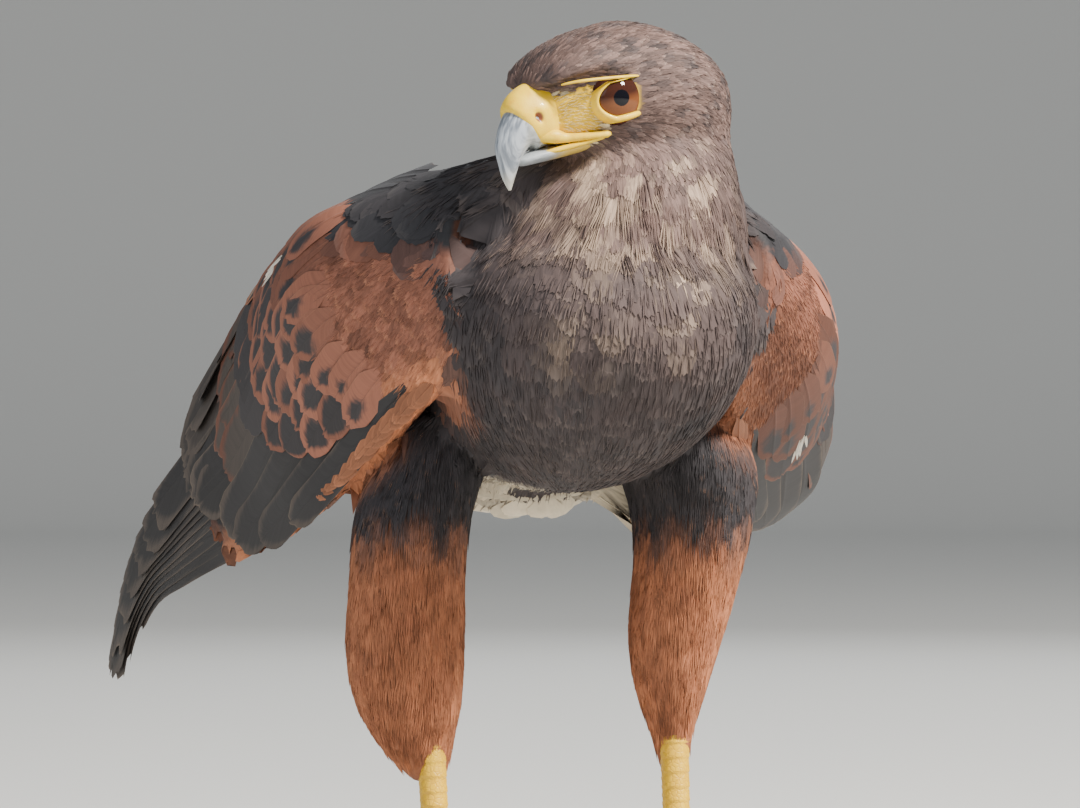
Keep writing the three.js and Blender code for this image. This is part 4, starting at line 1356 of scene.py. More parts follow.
# %% Vane builder
class Vanes:
    """Collects closed vanes for one mesh."""

    def __init__(self, seed):
        self.points, self.faces, self.maps, self.charts = [], [], [], []
        self.colours = {"tint": [], "rim": []}
        self.numbers = {"fill": [], "oval": [], "shade": []}
        self.count = 0
        self.rng = np.random.default_rng(seed)

    def add(self, grid, out, thick, chart, tint, rim, fill=0.95, oval=0.0):
        """A grid of top points, root to tip, with the direction out at each."""
        rows, cols = grid.shape[:2]
        top = np.arange(rows * cols).reshape(rows, cols)
        inside = np.zeros((rows, cols), bool)
        inside[1:-1, 1:-1] = True
        low = top.copy()
        low[inside] = rows * cols + np.arange(inside.sum())
        under = (grid - thick * out)[inside]
        quads = []
        for index, flip in ((top, False), (low, True)):
            a, b = index[:-1, :-1], index[:-1, 1:]
            c, d = index[1:, 1:], index[1:, :-1]
            order = (a, d, c, b) if flip else (a, b, c, d)
            quads.append(np.stack(order, -1).reshape(-1, 4))
        u, v = np.meshgrid(np.linspace(0, 1, cols), np.linspace(0, 1, rows))
        place = np.stack([u, v], -1)
        self.points += [grid.reshape(-1, 3), under]
        self.faces.append(np.concatenate(quads) + self.count)
        size = rows * cols + len(under)
        own = np.concatenate([place.reshape(-1, 2), place[inside]])
        self.maps.append(own)
        self.charts.append(np.asarray(chart) + (own - 0.5) * PATCH)
        self.colours["tint"].append(np.tile(tint, (size, 1)))
        self.colours["rim"].append(np.tile(rim, (size, 1)))
        for name, value in (("fill", fill), ("oval", oval), ("shade", self.rng.uniform())):
            self.numbers[name].append(np.full(size, value))
        self.count += size

    def made(self, name, look):
        """All vanes as one object."""
        faces = np.concatenate(self.faces).tolist()
        made = piece(name, np.concatenate(self.points), faces)
        made.data.set_sharp_from_angle(angle=math.radians(70))
        set_map(made, "plume", np.concatenate(self.maps))
        set_map(made, "OFBake", np.concatenate(self.charts))
        for word, values in self.colours.items():
            set_values(made, word, "FLOAT_COLOR", np.concatenate(values))
        for word, values in self.numbers.items():
            set_values(made, word, "FLOAT", np.concatenate(values))
        made.data.materials.append(look)
        print(name, "has", 2 * len(faces), "triangles")
        return made


# %% [markdown]
# On the wing a feather runs from a root place to a tip place. Its root is sunk under the
# surface and its tip lifted, so that the row in front covers the roots of the next. The
# tip's columns end unevenly.

# %% A feather on the wing
HALF_ACROSS = [0.05, 0.16, 0.36, 0.58, 0.78, 0.93, 1]
SHARE_ACROSS = np.array([-share for share in HALF_ACROSS[::-1]] + [0] + HALF_ACROSS)
VANE_DEEP = 0.26


def wing_vane(vanes, side, y0, v0, y1, v1, width, colours, sink, lift, roll, rows, tip, fray, lead=1.0):
    """A vane from its root at y0, v0 to its tip at y1, v1. Sink and lift are in millimetres."""
    k = SHARE_ACROSS[None]
    t = np.linspace(0, 1, rows)[:, None]
    t = t * (1 - tip * (1 - np.sqrt(1 - 0.97 * k * k)))
    t = t * (1 - vanes.rng.uniform(0, fray, k.shape) * t**3)
    u = wing_u(y0) + (wing_u(y1) - wing_u(y0)) * t
    v = v0 + (v1 - v0) * t
    out = wing_out(side, u, v)
    centre = wing_point(side, u, v)
    e = 0.02
    step = (wing_u(y1) - wing_u(y0)) * e, (v1 - v0) * e
    ahead = wing_point(side, np.minimum(u + step[0], 1), v + step[1])
    way = unit(ahead - wing_point(side, u - step[0], v - step[1]))
    across = unit(np.cross(out, way)) * side
    across = unit(across + math.tan(roll) * out)
    half = 0.5 * width * (0.35 + 0.65 * smooth_step(0, 0.4, t)) * (1 - 0.12 * t)
    half = half * np.where(k > 0, lead, 1)
    raised = 0.28 * np.exp(-((k / 0.05) ** 2)) * (1 - 0.7 * t)
    high = (lift + sink) * t - sink - 0.07 * half * np.abs(k) ** 1.5 + raised
    grid = centre + (k * half)[..., None] * across + high[..., None] * out
    chart = (0.5 + 0.4 * (2 * wing_u((y0 + y1) / 2) - 1), 0.5 + 0.4 * (v0 + v1 - 1))
    vanes.add(grid, out, VANE_DEEP, chart, *colours)


# %% [markdown]
# A covert of the arm is rust with a dark oval near its tip and a hair-thin pale rim. A
# flight feather is dark to the root with a narrow paler rim. One finish serves both: a
# number says how far the dark part reaches, and another whether it is an oval.

# %% Wing finish
def paint_vane(tree):
    across, along = across_and_along(tree)
    shade = tree.attribute("shade", "Fac")
    streak = barbs(tree, across, along, 40.0, 0.75, shade)
    fine = barbs(tree, across, along, 150.0, 0.75, shade)
    aside = abs(across - 0.5) * 2.0
    ahead = (along - 0.80) / 0.20
    behind = (0.80 - along) / 0.45 * tree.attribute("oval", "Fac")
    reach = ahead.most(behind).most(0.0)
    cloud = tree.noise(tree.vector(across * 4.0, along * 6.0, shade * 50.0), 1.0, 2.0) - 0.5
    away = ((aside * aside * 1.06 + reach * reach) ** 0.5) + 0.5 * cloud + 0.3 * (streak - 0.5)
    fill = tree.attribute("fill", "Fac")
    outside = tree.between(fill - 0.2, fill + 0.16, away)
    colour = tree.mix(outside, tree.attribute("tint"), tree.attribute("rim"))
    light = 0.84 + 0.24 * shade + 0.5 * (streak - 0.5) + 0.3 * (fine - 0.5)
    colour = darkened(tree, colour, light)
    hem = tree.between(0.93, 0.99, aside.most(ahead))
    colour = tree.mix(hem * 0.15 * tree.between(0.2, 0.8, shade), colour, (0.42, 0.30, 0.20))
    shaft = 1 - tree.between(0.008, 0.020, abs(across - 0.5))
    colour = tree.mix(shaft * 0.45, colour, (0.035, 0.027, 0.024))
    return {"Base Color": colour, "Normal": tree.bump(0.5 * streak + 0.5 * fine, 0.3, 0.0002)}


vane_look = finish_look("wing_vanes", paint_vane, Roughness=0.62, Specular_IOR_Level=0.3)

# %% [markdown]
# ## Laying the wing
# The order is the bird's own: primaries below, then secondaries and tertials, the great
# coverts, the rows of middle and lesser coverts towards the front, a bright edge along
# the wrist, and the shoulder feathers over the top. Each row below gives places across
# the wing at root and tip, then how far back both lie, then the width. A row of coverts
# starts with their number and ends with how much of each is dark.

# %% Wing rows
PRIMARIES = [
    [0.5, 0.6, 78, 172, 21],
    [0.42, 0.58, 76, 194, 21],
    [0.35, 0.6, 74, 217, 20],
    [0.28, 0.6, 72, 240, 19],
    [0.22, 0.56, 70, 260, 18],
    [0.17, 0.5, 68, 272, 16],
    [0.13, 0.36, 66, 266, 15],
    [0.09, 0.2, 64, 238, 13],
]
SECONDARIES = [
    [0.90, 0.86, 56, 112, 24],
    [0.80, 0.79, 54, 127, 26],
    [0.69, 0.70, 52, 136, 26],
    [0.58, 0.60, 52, 140, 25],
    [0.47, 0.49, 52, 139, 24],
    [0.37, 0.40, 52, 136, 22],
    [0.29, 0.32, 52, 130, 20],
]
GREAT_COVERTS = [
    [0.27, 0.16, 30, 116, 20],
    [0.20, 0.09, 22, 112, 18],
    [0.13, 0.05, 10, 96, 15],
    [0.09, 0.03, -8, 74, 12],
]
COVERT_ROWS = [
    [5, 40, 76, 0.36, 0.62, 19, 1.3],
    [8, 24, 60, 0.14, 0.66, 17, 0.90],
    [9, 12, 47, 0.14, 0.68, 16, 0.84],
    [9, 0, 34, 0.12, 0.70, 15, 0.76],
    [10, -6, 22, 0.11, 0.70, 13, 0.6],
]
FLIGHT = np.array([0.024, 0.022, 0.023])
FLIGHT_RIM = np.array([0.085, 0.066, 0.055])
TERTIAL = np.array([0.060, 0.047, 0.040])
COVERT_RIM = np.array([0.21, 0.080, 0.050])
SPOT = np.array([0.034, 0.030, 0.032])
WHITE = np.array([0.70, 0.66, 0.58])
print("coverts in rows on each wing", sum(row[0] for row in COVERT_ROWS))

# %% [markdown]
# Long feathers first: ten primaries fanned under one another, eleven secondaries of which
# the inner ones turn brown, and four dark great coverts over the hand.

# %% Flight feathers
def lay_flight(vanes, side):
    for k in range(10):
        v0, v1, y0, y1, width = blend(PRIMARIES, k / 9)
        wing_vane(
            vanes, side, y0, v0, y1, v1, width, (FLIGHT, FLIGHT_RIM, 0.94),
            sink=4.0, lift=0.2 - 0.72 * k, roll=0.03, rows=20, tip=0.05, lead=0.6, fray=0.05,
        )
    for k in range(11):
        v0, v1, y0, y1, width = blend(SECONDARIES, 1 - k / 10)
        colour = FLIGHT + (TERTIAL - FLIGHT) * smooth_step(3, 8, k)
        wing_vane(
            vanes, side, y0, v0, y1, v1, width, (colour, FLIGHT_RIM, 0.94),
            sink=2.6, lift=0.3 + 0.08 * k, roll=0.05, rows=16, tip=0.14, fray=0.05,
        )
    for v0, v1, y0, y1, width in GREAT_COVERTS:
        wing_vane(
            vanes, side, y0, v0, y1, v1, width, (FLIGHT * 1.1, FLIGHT_RIM * 0.8, 0.95),
            sink=2.2, lift=1.3, roll=0.08, rows=16, tip=0.14, fray=0.03,
        )


# %% [markdown]
# The coverts lie in rows, but not in step: each root and tip slips a few millimetres. Near
# the upper edge they turn downwards. Dark ovals grow towards the rear rows.

# %% Coverts
def fall(v, length):
    """How far a covert's tip lies below its root, as a share of the wing's height."""
    return (0.0016 + 0.0045 * smooth_step(0.35, 0.7, v)) * length


def lay_coverts(vanes, side, rng):
    for k in range(6):
        v = 0.32 + 0.075 * k
        tip_y = 104 - 10 * abs(v - 0.4) + rng.uniform(-4, 4)
        wing_vane(
            vanes, side, 46, v + 0.04, tip_y, v, 22, (TERTIAL, COVERT_RIM * 0.6, 0.93),
            sink=2.2, lift=1.3, roll=0.08, rows=14, tip=0.2, fray=0.06,
        )
    for number, (count, y0, y1, low, high, width, dark) in enumerate(COVERT_ROWS):
        for k in range(count):
            share = (k + 0.5 * (number % 2) + rng.uniform(-0.2, 0.2)) / count
            v = low + (high - low) * share
            slip, late = rng.uniform(-3, 3, 2)
            amount = dark * rng.uniform(0.6, 1.15)
            # Each covert gets a random tone. On the left wing the lower coverts are painted darker, as
            # painted shade, and the upper ones brighter, as painted light.
            tone_with_painted_shade_and_light = rng.uniform(0.75, 1.25) * ((0.45 if v < 0.42 else 1.5) if side > 0 else 1)
            wing_vane(
                vanes, side, y0 + slip, min(v + fall(v, y1 - y0), 0.86), y1 + slip + late, v, width,
                (SPOT, COVERT_RIM * tone_with_painted_shade_and_light * (1.3 - 0.5 * v), amount, 1.0),
                sink=2.6 if y0 < 0 else 2.0, lift=1.5, roll=0.10, rows=10, tip=0.26, fray=0.06,
            )


# %% [markdown]
# Along the wrist runs a band of short bright rust feathers. Slate shoulder feathers lie
# over the upper edge, with two buff feathers rimmed in rust showing under them, and a
# small white tuft marks each wing.

# %% Edges of the wing
def lay_edges(vanes, side, rng):
    for k in range(28):
        y0 = -18 + 2.4 * k + rng.uniform(-1, 1)
        v = 0.038 + rng.uniform(-0.014, 0.014)
        # On the left wing the rust band is painted darker, as painted shade.
        tone_with_painted_shade_and_light = RUST * rng.uniform(0.7, 1.05) * (1 if side < 0 else 0.7)
        wing_vane(
            vanes, side, y0, v + 0.01, y0 + rng.uniform(11, 16), v - 0.01, 5.5, (tone_with_painted_shade_and_light * 0.8, tone_with_painted_shade_and_light, 0.8),
            sink=2.2, lift=0.4, roll=0.02, rows=8, tip=0.5, fray=0.06,
        )
    for k in range(6):
        for v in (0.97, 0.93, 0.87):
            y0 = -8 + 13 * k + rng.uniform(-2, 2)
            wing_vane(
                vanes, side, y0, v, y0 + 42, v - 0.035, 20, (SLATE, FLIGHT_RIM * 0.8, 0.95),
                sink=1.8, lift=1.2, roll=0.04, rows=10, tip=0.26, fray=0.03,
            )
    for y0, y1, v in ((48, 84, 0.77), (44, 78, 0.73)):
        wing_vane(
            vanes, side, y0, v + 0.04, y1, v, 15, (BUFF * 0.75, RUST, 0.6),
            sink=1.6, lift=2.0, roll=0.08, rows=12, tip=0.24, fray=0.05,
        )
    for k in range(9):
        v = (0.66 if side < 0 else 0.2) + rng.uniform(-0.015, 0.015)
        y0 = rng.uniform(28, 36)
        wing_vane(
            vanes, side, y0, v, y0 + rng.uniform(6, 11), v - rng.uniform(0, 0.03), 1.0, (WHITE, WHITE),
            sink=-1.2, lift=2.2, roll=0.3, rows=6, tip=0.8, fray=0.1,
        )


# %% [markdown]
# All vanes of a wing become one piece. Each wing has its own seed, so that left and right
# differ a little, as they do on a bird.

# %% Lay both wings
def lay_wing(side, word):
    vanes = Vanes(40 + side)
    rng = np.random.default_rng(60 + side)
    lay_flight(vanes, side)
    lay_coverts(vanes, side, rng)
    lay_edges(vanes, side, rng)
    made = vanes.made("wing_feathers_" + word, vane_look)
    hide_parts("wing_" + word)
    return made


wings = [lay_wing(-1, "right"), lay_wing(1, "left")]

# %% [markdown]
# ## The tail
# Twelve feathers, the middle pair on top. They are white at the root and at the tip and
# dark between, which names the species from behind.

# %% Tail feathers
TAIL_ROOT, TAIL_TIP = np.array([0, 104, 180.0]), np.array([0, 312, 150.0])
TAIL_HALF = (17, 31)
TAIL_PAIRS = 6


def paint_tail(tree):
    across, along = across_and_along(tree)
    shade = tree.attribute("shade", "Fac")
    streak = barbs(tree, across, along, 60.0, 0.75, shade)
    fine = barbs(tree, across, along, 220.0, 0.75, shade)
    wobble = 0.03 * (streak - 0.5)
    white = tree.between(0.915, 0.93, along + wobble) + (1 - tree.between(0.30, 0.36, along + wobble))
    colour = tree.mix(white, FLIGHT * 1.1, WHITE)
    light = 0.80 + 0.25 * shade + 0.4 * (streak - 0.5) + 0.35 * (fine - 0.5)
    colour = darkened(tree, colour, light)
    shaft = 1 - tree.between(0.010, 0.022, abs(across - 0.5))
    colour = tree.mix(shaft * 0.6, colour, (0.07, 0.05, 0.04))
    return {"Base Color": colour, "Normal": tree.bump(fine, 0.4, 0.0002)}


def lay_tail():
    vanes = Vanes(80)
    cols = SHARE_ACROSS[None]
    for number in range(TAIL_PAIRS):
        for side in (-1, 1):
            share = (number + 0.35) / TAIL_PAIRS
            t = np.linspace(0, 1, 26)[:, None]
            t = t * (1 - 0.05 * (1 - np.sqrt(1 - 0.97 * cols * cols)))
            middle = TAIL_ROOT + (TAIL_TIP - TAIL_ROOT) * (t * (1 - 0.035 * share**2))[..., None]
            spread_out = (TAIL_HALF[0] - 7 + (TAIL_HALF[1] - TAIL_HALF[0] - 6) * t) * share
            half = 0.5 * (13 + 13 * np.sin(np.pi * np.minimum(t * 0.62 + 0.05, 0.5)))
            half = half * (0.6 + 0.4 * smooth_step(0, 0.3, t))
            dx = side * (spread_out + 2) + cols * half
            level = -(2 * number + (side > 0)) * 0.45 * (0.35 + 0.65 * t)
            raised = 0.5 * np.exp(-((cols / 0.04) ** 2)) * (1 - 0.6 * t)
            grid = middle + dx[..., None] * X
            grid[..., 2] += -0.0045 * dx * dx + level + raised - 0.15 * np.abs(cols) ** 2
            chart = (0.1 + 0.12 * number, 0.3 + 0.4 * (side > 0))
            vanes.add(grid, np.broadcast_to(Z, grid.shape), VANE_DEEP, chart, FLIGHT, WHITE)
    look = finish_look("tail_vanes", paint_tail, Roughness=0.6, Specular_IOR_Level=0.3)
    made = vanes.made("tail_feathers", look)
    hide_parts("tail")
    return made


tail = lay_tail()

# %% [markdown]
# ## Bill and cere
# The upper bill is a hooked horn that follows a curve in the head's middle plane. The
# lower bill is a shallow trough that fits under it. Behind both lies the cere, a waxy
# yellow cap with the nostrils, which runs back into the fleshy corner of the mouth.

# %% Bill shapes
CERE = [
    [8, -1.0, 5.5, 7.0, 8.0],
    [12, -1.2, 6.6, 9.0, 8.5],
    [17, -1.3, 7.6, 11.2, 8.8],
    [21, -1.8, 7.4, 10.3, 7.9],
    [25, -2.3, 6.7, 7.9, 7.4],
    [26.4, -2.5, 5.6, 6.6, 6.2],
]
UPPER_BILL = [
    [17.0, -1.4, 6.2, 6.8, 8.4],
    [21.5, -1.6, 6.4, 7.0, 8.7],
    [24.2, -2.0, 6.4, 6.9, 8.5],
    [26.8, -3.3, 6.0, 5.6, 7.3],
    [28.8, -5.4, 5.2, 5.0, 5.9],
    [30.5, -8.4, 4.2, 4.9, 4.6],
    [31.8, -12.0, 3.0, 3.6, 3.3],
    [32.9, -16.0, 1.8, 2.2, 2.1],
    [33.4, -19.8, 0.35, 0.45, 0.45],
]
LOWER_BILL = [
    [5, -12.2, 8, 0.8, 2.4],
    [14, -11.9, 7.2, 1.4, 2.6],
    [22, -11.6, 5.4, 1.5, 2.6],
    [27, -11.9, 3.4, 1.1, 2],
    [29, -12.2, 1.4, 0.6, 0.9],
]


def bill_rings():
    t = np.linspace(0, 1, 60)
    f, u, half, over_it, under_it = blend(UPPER_BILL, t).T
    df, du = np.gradient(f), np.gradient(u)
    size_of = np.hypot(df, du)
    rise = (df / size_of)[:, None] * CROWN - (du / size_of)[:, None] * BILL
    grid = rings(head_point(f, 0, u), LEFT, rise, half, over_it, under_it, 48)
    angle = np.linspace(0, 2 * np.pi, 48, endpoint=False)
    side = (grid - head_point(f, 0, u)[:, None]) @ LEFT
    pinch = -0.16 * np.clip(np.sin(angle), 0, 1)[None] * side
    return grid + pinch[..., None] * LEFT


NOSTRIL = (22.3, -0.2)
NOSTRIL_SLANT, NOSTRIL_DEEP = 0.3, 1.9
CERE_SLANT = 0.50


def cere_rings():
    """The cere, whose front edge slants back towards the mouth, with a nostril on each side."""
    grid = head_rings(CERE, 48, 72)
    f, s, u = head_axes(grid)
    grid = grid + (CERE_SLANT * (u + 1) * smooth_step(13, 25, f))[..., None] * BILL
    f, s, u = head_axes(grid)
    bulge = 0.8 * np.exp(-(((f - 20.5) / 3.2) ** 2) - ((u - 2.0) / 3.0) ** 2)
    ahead = f - NOSTRIL[0]
    above = u - NOSTRIL[1] - NOSTRIL_SLANT * ahead
    hole = NOSTRIL_DEEP * np.exp(-((ahead / 0.95) ** 2) - (above / 1.15) ** 2)
    return grid + (np.sign(s) * (bulge - hole))[..., None] * LEFT


# %% [markdown]
# The corner of the mouth is a fleshy yellow flange of two lips. It grows out of the lower
# cere and ends in a blunt round corner under the eye.

# %% Corner of the mouth
UPPER_LIP = [
    [23, 3.4, -6.4, 0.8, 0.8],
    [18, 5.8, -7.0, 2.2, 2.2],
    [14, 7.4, -8.5, 1.6, 1.5],
    [9.5, 11.0, -9.2, 1.7, 1.15],
    [6, 13.5, -9.7, 1.6, 1.1],
    [4.2, 14.6, -9.8, 1.4, 1.1],
    [3.2, 15.1, -9.9, 0.5, 0.5],
]
LOWER_LIP = [
    [24, 2.8, -11.4, 0.3, 0.3],
    [18, 5.8, -11.3, 1.1, 0.8],
    [14, 7.8, -11.2, 1.3, 0.9],
    [9.5, 10.6, -11.0, 1.3, 0.7],
    [5.5, 13.3, -10.6, 1.2, 0.6],
    [4.4, 14.0, -10.3, 0.4, 0.3],
]

# %% [markdown]
# Horn is smooth and faintly streaked along its growth, blue-grey with a paler tip and a
# yellowish edge near the cere. The cere is waxy, with fine pores and warmer patches. Its
# nostrils are painted dark, as painted shade inside them.

# %% Horn and wax
def head_place(tree):
    """The head's own forward, sideways and up, in millimetres, from Object coordinates."""
    values = {0: tree.place(), 1: tuple(HEAD_AT / 1000 + SHIFT)}
    away = tree.node("ShaderNodeVectorMath", {"operation": "SUBTRACT"}, values)["Vector"]
    found = []
    for axis in (BILL, LEFT, CROWN):
        values = {0: away, 1: tuple(axis * 1000)}
        dot = tree.node("ShaderNodeVectorMath", {"operation": "DOT_PRODUCT"}, values)
        found.append(dot["Value"])
    return found


def paint_horn(tree):
    f, s, u = head_place(tree)
    streak = tree.noise(tree.vector(f * 0.25, s * 1.2, u * 0.12), 1.0, 3.0)
    tip = tree.between(-12.0, -19.5, u)
    base = 1 - tree.between(24.5, 27.5, f + 0.25 * u)
    colour = tree.mix(tree.between(0.35, 0.65, streak), (0.13, 0.15, 0.18), (0.36, 0.39, 0.43))
    colour = tree.mix(tip * 0.6, colour, (0.60, 0.55, 0.42))
    colour = tree.mix(base * 0.3, colour, (0.55, 0.53, 0.40))
    normal = tree.bump(streak, 0.12, 0.0002)
    return {"Base Color": colour, "Roughness": 0.30 + 0.12 * streak, "Normal": normal}


def paint_lower_horn(tree):
    f, s, u = head_place(tree)
    streak = tree.noise(tree.vector(f * 0.5, s, u), 1.0, 3.0)
    colour = tree.mix(streak, (0.24, 0.27, 0.30), (0.44, 0.46, 0.47))
    colour = tree.mix(1 - tree.between(13.0, 21.0, f), colour, (0.72, 0.50, 0.10))
    return {"Base Color": colour, "Roughness": 0.32 + 0.1 * streak}


def paint_cere(tree):
    f, s, u = head_place(tree)
    place = tree.vector(f, s, u)
    blotch = tree.noise(place, 0.35, 3.0)
    pores = tree.noise(place, 3.2, 2.0)
    colour = tree.mix(blotch, (0.72, 0.40, 0.0), (0.90, 0.64, 0.03))
    warm = tree.between(0.35, 0.15, blotch)
    colour = tree.mix(warm * 0.4, colour, (0.62, 0.26, 0.02))
    # The nostril is painted dark brown: painted shade inside the hole.
    ahead = f - NOSTRIL[0]
    above = u - NOSTRIL[1] - NOSTRIL_SLANT * ahead
    from_hole = ahead * ahead * 1.1 + above * above * 0.75 + 0.5 * (blotch - 0.5)
    hole = (1 - tree.between(0.9, 2.6, from_hole)) * tree.between(4.0, 5.0, abs(s))
    colour = tree.mix(hole, colour, (0.22, 0.055, 0.01))
    normal = tree.bump(pores, 0.25, 0.0003)
    return {"Base Color": colour, "Roughness": 0.36 + 0.2 * blotch, "Normal": normal}


WAX = {"Subsurface_Weight": 0.08, "Subsurface_Scale": 0.002, "Coat_Weight": 0.15}
wax_look = finish_look("yellow_wax", paint_cere, **WAX)
horn_look = finish_look("upper_horn", paint_horn, Coat_Weight=0.25, Coat_Roughness=0.2)
upper_bill = loft("bill_upper_horn", bill_rings())
upper_bill.data.materials.append(horn_look)
lower_bill = loft("bill_lower_horn", head_rings(LOWER_BILL, 40, 40))
lower_bill.data.materials.append(finish_look("lower_horn", paint_lower_horn, Coat_Weight=0.2))


def joined(name, grids):
    """Several closed lofts as one object."""
    points, faces, first = [], [], 0
    for grid in grids:
        flat = grid.reshape(-1, 3)
        faces += [[k + first for k in face] for face in outward(flat, loft_faces(*grid.shape[:2]))]
        points.append(flat)
        first += len(flat)
    return piece(name, np.concatenate(points), faces)


cere_grids = [cere_rings()]
for side in (-1, 1):
    cere_grids += [head_tube(mirrored(lip, side), 40, 18) for lip in (UPPER_LIP, LOWER_LIP)]
cere = joined("cere_and_gape", cere_grids)
cere.data.materials.append(wax_look)
print("cere and gape have", len(cere.data.polygons), "faces")

# %% [markdown]
# ## Eyes and lids
# The eye is a wet ball with a red-brown iris and a round pupil. It sits in a ring of
# yellow lid, under a flat yellow brow that shades it and gives a hawk its stern look. The
# finish counts degrees from the middle of the pupil.

# %% Eyes
EYE_CENTRE = (-2.6, 11.2, 0.1)
EYE_RADIUS = 9.8
LOOK_FORWARD = 0.35
PUPIL_RIM = 14.0


def eye_ball(side, word):
    f, s, u = EYE_CENTRE
    centre = head_point(f, side * s, u)
    look_way = unit(side * LEFT + LOOK_FORWARD * BILL)
    rise = unit(CROWN - (CROWN @ look_way) * look_way)
    angle = np.linspace(0.012, np.pi - 0.012, 72)
    centres = centre + (EYE_RADIUS * np.cos(angle))[:, None] * look_way
    size_of = EYE_RADIUS * np.sin(angle)
    across = np.cross(rise, look_way)
    made = loft("eyeball_" + word, rings(centres, across, rise, size_of, size_of, size_of, 64))
    set_values(made, "from_pupil", "FLOAT", np.repeat(np.degrees(angle), 64))
    high = (vertices(made)[0] - centre) @ rise
    set_values(made, "high", "FLOAT", high)
    print("eye reaches from", high.min().round(1), "to", high.max().round(1))
    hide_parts("eye_" + word)
    return made


def paint_eye(tree):
    away = tree.attribute("from_pupil", "Fac")
    fleck = tree.noise(tree.place(), 1500.0, 3.0)
    # The upper half of the iris is painted dark, as painted shadow of the brow.
    painted_brow_shadow = tree.between(-2.0, 1.5, tree.attribute("high", "Fac"))
    iris = tree.mix(painted_brow_shadow, (0.165, 0.058, 0.020), (0.024, 0.009, 0.007))
    iris = tree.mix(fleck * 0.4, iris, (0.08, 0.022, 0.008))
    iris = tree.mix(tree.between(40.0, 58.0, away), iris, (0.03, 0.010, 0.008))
    outside = tree.between(PUPIL_RIM, PUPIL_RIM + 1, away + 1.5 * (fleck - 0.5))
    return {"Base Color": tree.mix(outside, (0.003, 0.003, 0.005), iris)}


WET = {"Roughness": 0.5, "Specular_IOR_Level": 0.0, "Coat_Weight": 0.45, "Coat_Roughness": 0.03}
eye_look = finish_look("wet_eye", paint_eye, **WET)
eyes = [eye_ball(-1, "right"), eye_ball(1, "left")]
for eye in eyes:
    eye.data.materials.append(eye_look)


# %% [markdown]
# The lid is a collar: it touches the eyeball along the opening, swells into a rounded
# yellow rim and runs down into the skin behind, so that no gap shows round the eye. The
# opening is a wide oval, cut straight under the brow and a little at the bottom.

# %% Lids
EYE_HALF = 8.6
EYE_DEEP, EYE_TOP, EYE_LOW = 6.0, 5.0, -5.1
LID_SECTION = [
    (-0.05, -0.1),
    (0.12, 0.55),
    (0.5, 0.85),
    (0.9, 0.6),
    (1.1, 0.0),
    (1.3, -1.6),
    (1.5, -4.5),
    (0.6, -4.5),
]


def lid_ring(side):
    """A closed collar round the opening."""
    angle = np.linspace(0, 2 * np.pi, 97)
    c, s = np.cos(angle), np.sin(angle)
    f = EYE_MIDDLE + EYE_HALF * c
    u = np.clip(EYE_DEEP * s, EYE_LOW, EYE_TOP)
    away = unit(np.stack([c / EYE_HALF, s / EYE_DEEP], -1))
    gap = (f - EYE_CENTRE[0]) ** 2 + (u - EYE_CENTRE[2]) ** 2
    ball = EYE_CENTRE[1] + np.sqrt(np.maximum(EYE_RADIUS**2 - gap, 9))
    wide = 1.0 + 0.7 * np.clip(-s, 0, 1) - 0.35 * np.clip(-c, 0, 1) - 0.6 * np.clip(s, 0, 1) ** 2
    rim = []
    for reach, high in LID_SECTION:
        grown = reach * wide
        rim.append(head_point(f + grown * away[:, 0], side * (ball + high), u + grown * away[:, 1]))
    return np.stack(rim, axis=1)


def closed_ring(grid):
    """Faces of a ring that closes on itself."""
    steps, count = grid.shape[0] - 1, grid.shape[1]
    i, j = np.meshgrid(np.arange(steps), np.arange(count), indexing="ij")
    a, b = i * count + j, i * count + (j + 1) % count
    c, d = ((i + 1) % steps) * count + (j + 1) % count, ((i + 1) % steps) * count + j
    return grid[:-1].reshape(-1, 3), np.stack([a, b, c, d], -1).reshape(-1, 4).tolist()


BROW_RIM = [
    [15.5, 12.0, 7.9, 0.3, 0.3],
    [12, 15.8, 7.9, 0.65, 0.45],
    [6, 18.8, 7.2, 0.75, 0.5],
    [0, 20.0, 6.3, 0.75, 0.5],
    [-5, 20.4, 5.5, 0.6, 0.45],
    [-7.6, 20.2, 5.0, 0.3, 0.3],
]


def make_lids():
    points, faces, first = [], [], 0
    for side in (-1, 1):
        own, own_faces = closed_ring(lid_ring(side))
        own_faces = own_faces if side < 0 else [face[::-1] for face in own_faces]
        grid = head_tube(mirrored(BROW_RIM, side), 40, 14)
        flat = grid.reshape(-1, 3)
        flat_faces = outward(flat, loft_faces(*grid.shape[:2]))
        for part, part_faces in ((own, own_faces), (flat, flat_faces)):
            faces += [[k + first for k in face] for face in part_faces]
            points.append(part)
            first += len(part)
    made = piece("lids_and_brows", np.concatenate(points), faces)
    made.data.materials.append(wax_look)
    return made


lids = make_lids()
print("lids and brows have", len(lids.data.polygons), "faces")

# %% [markdown]
# ## Legs, toes and claws
# A hawk's leg is bare and yellow, with a row of broad plates down the front and small
# scales elsewhere. The plates are real steps in the surface: each ring of the leg swells
# towards its lower rim and then drops back.

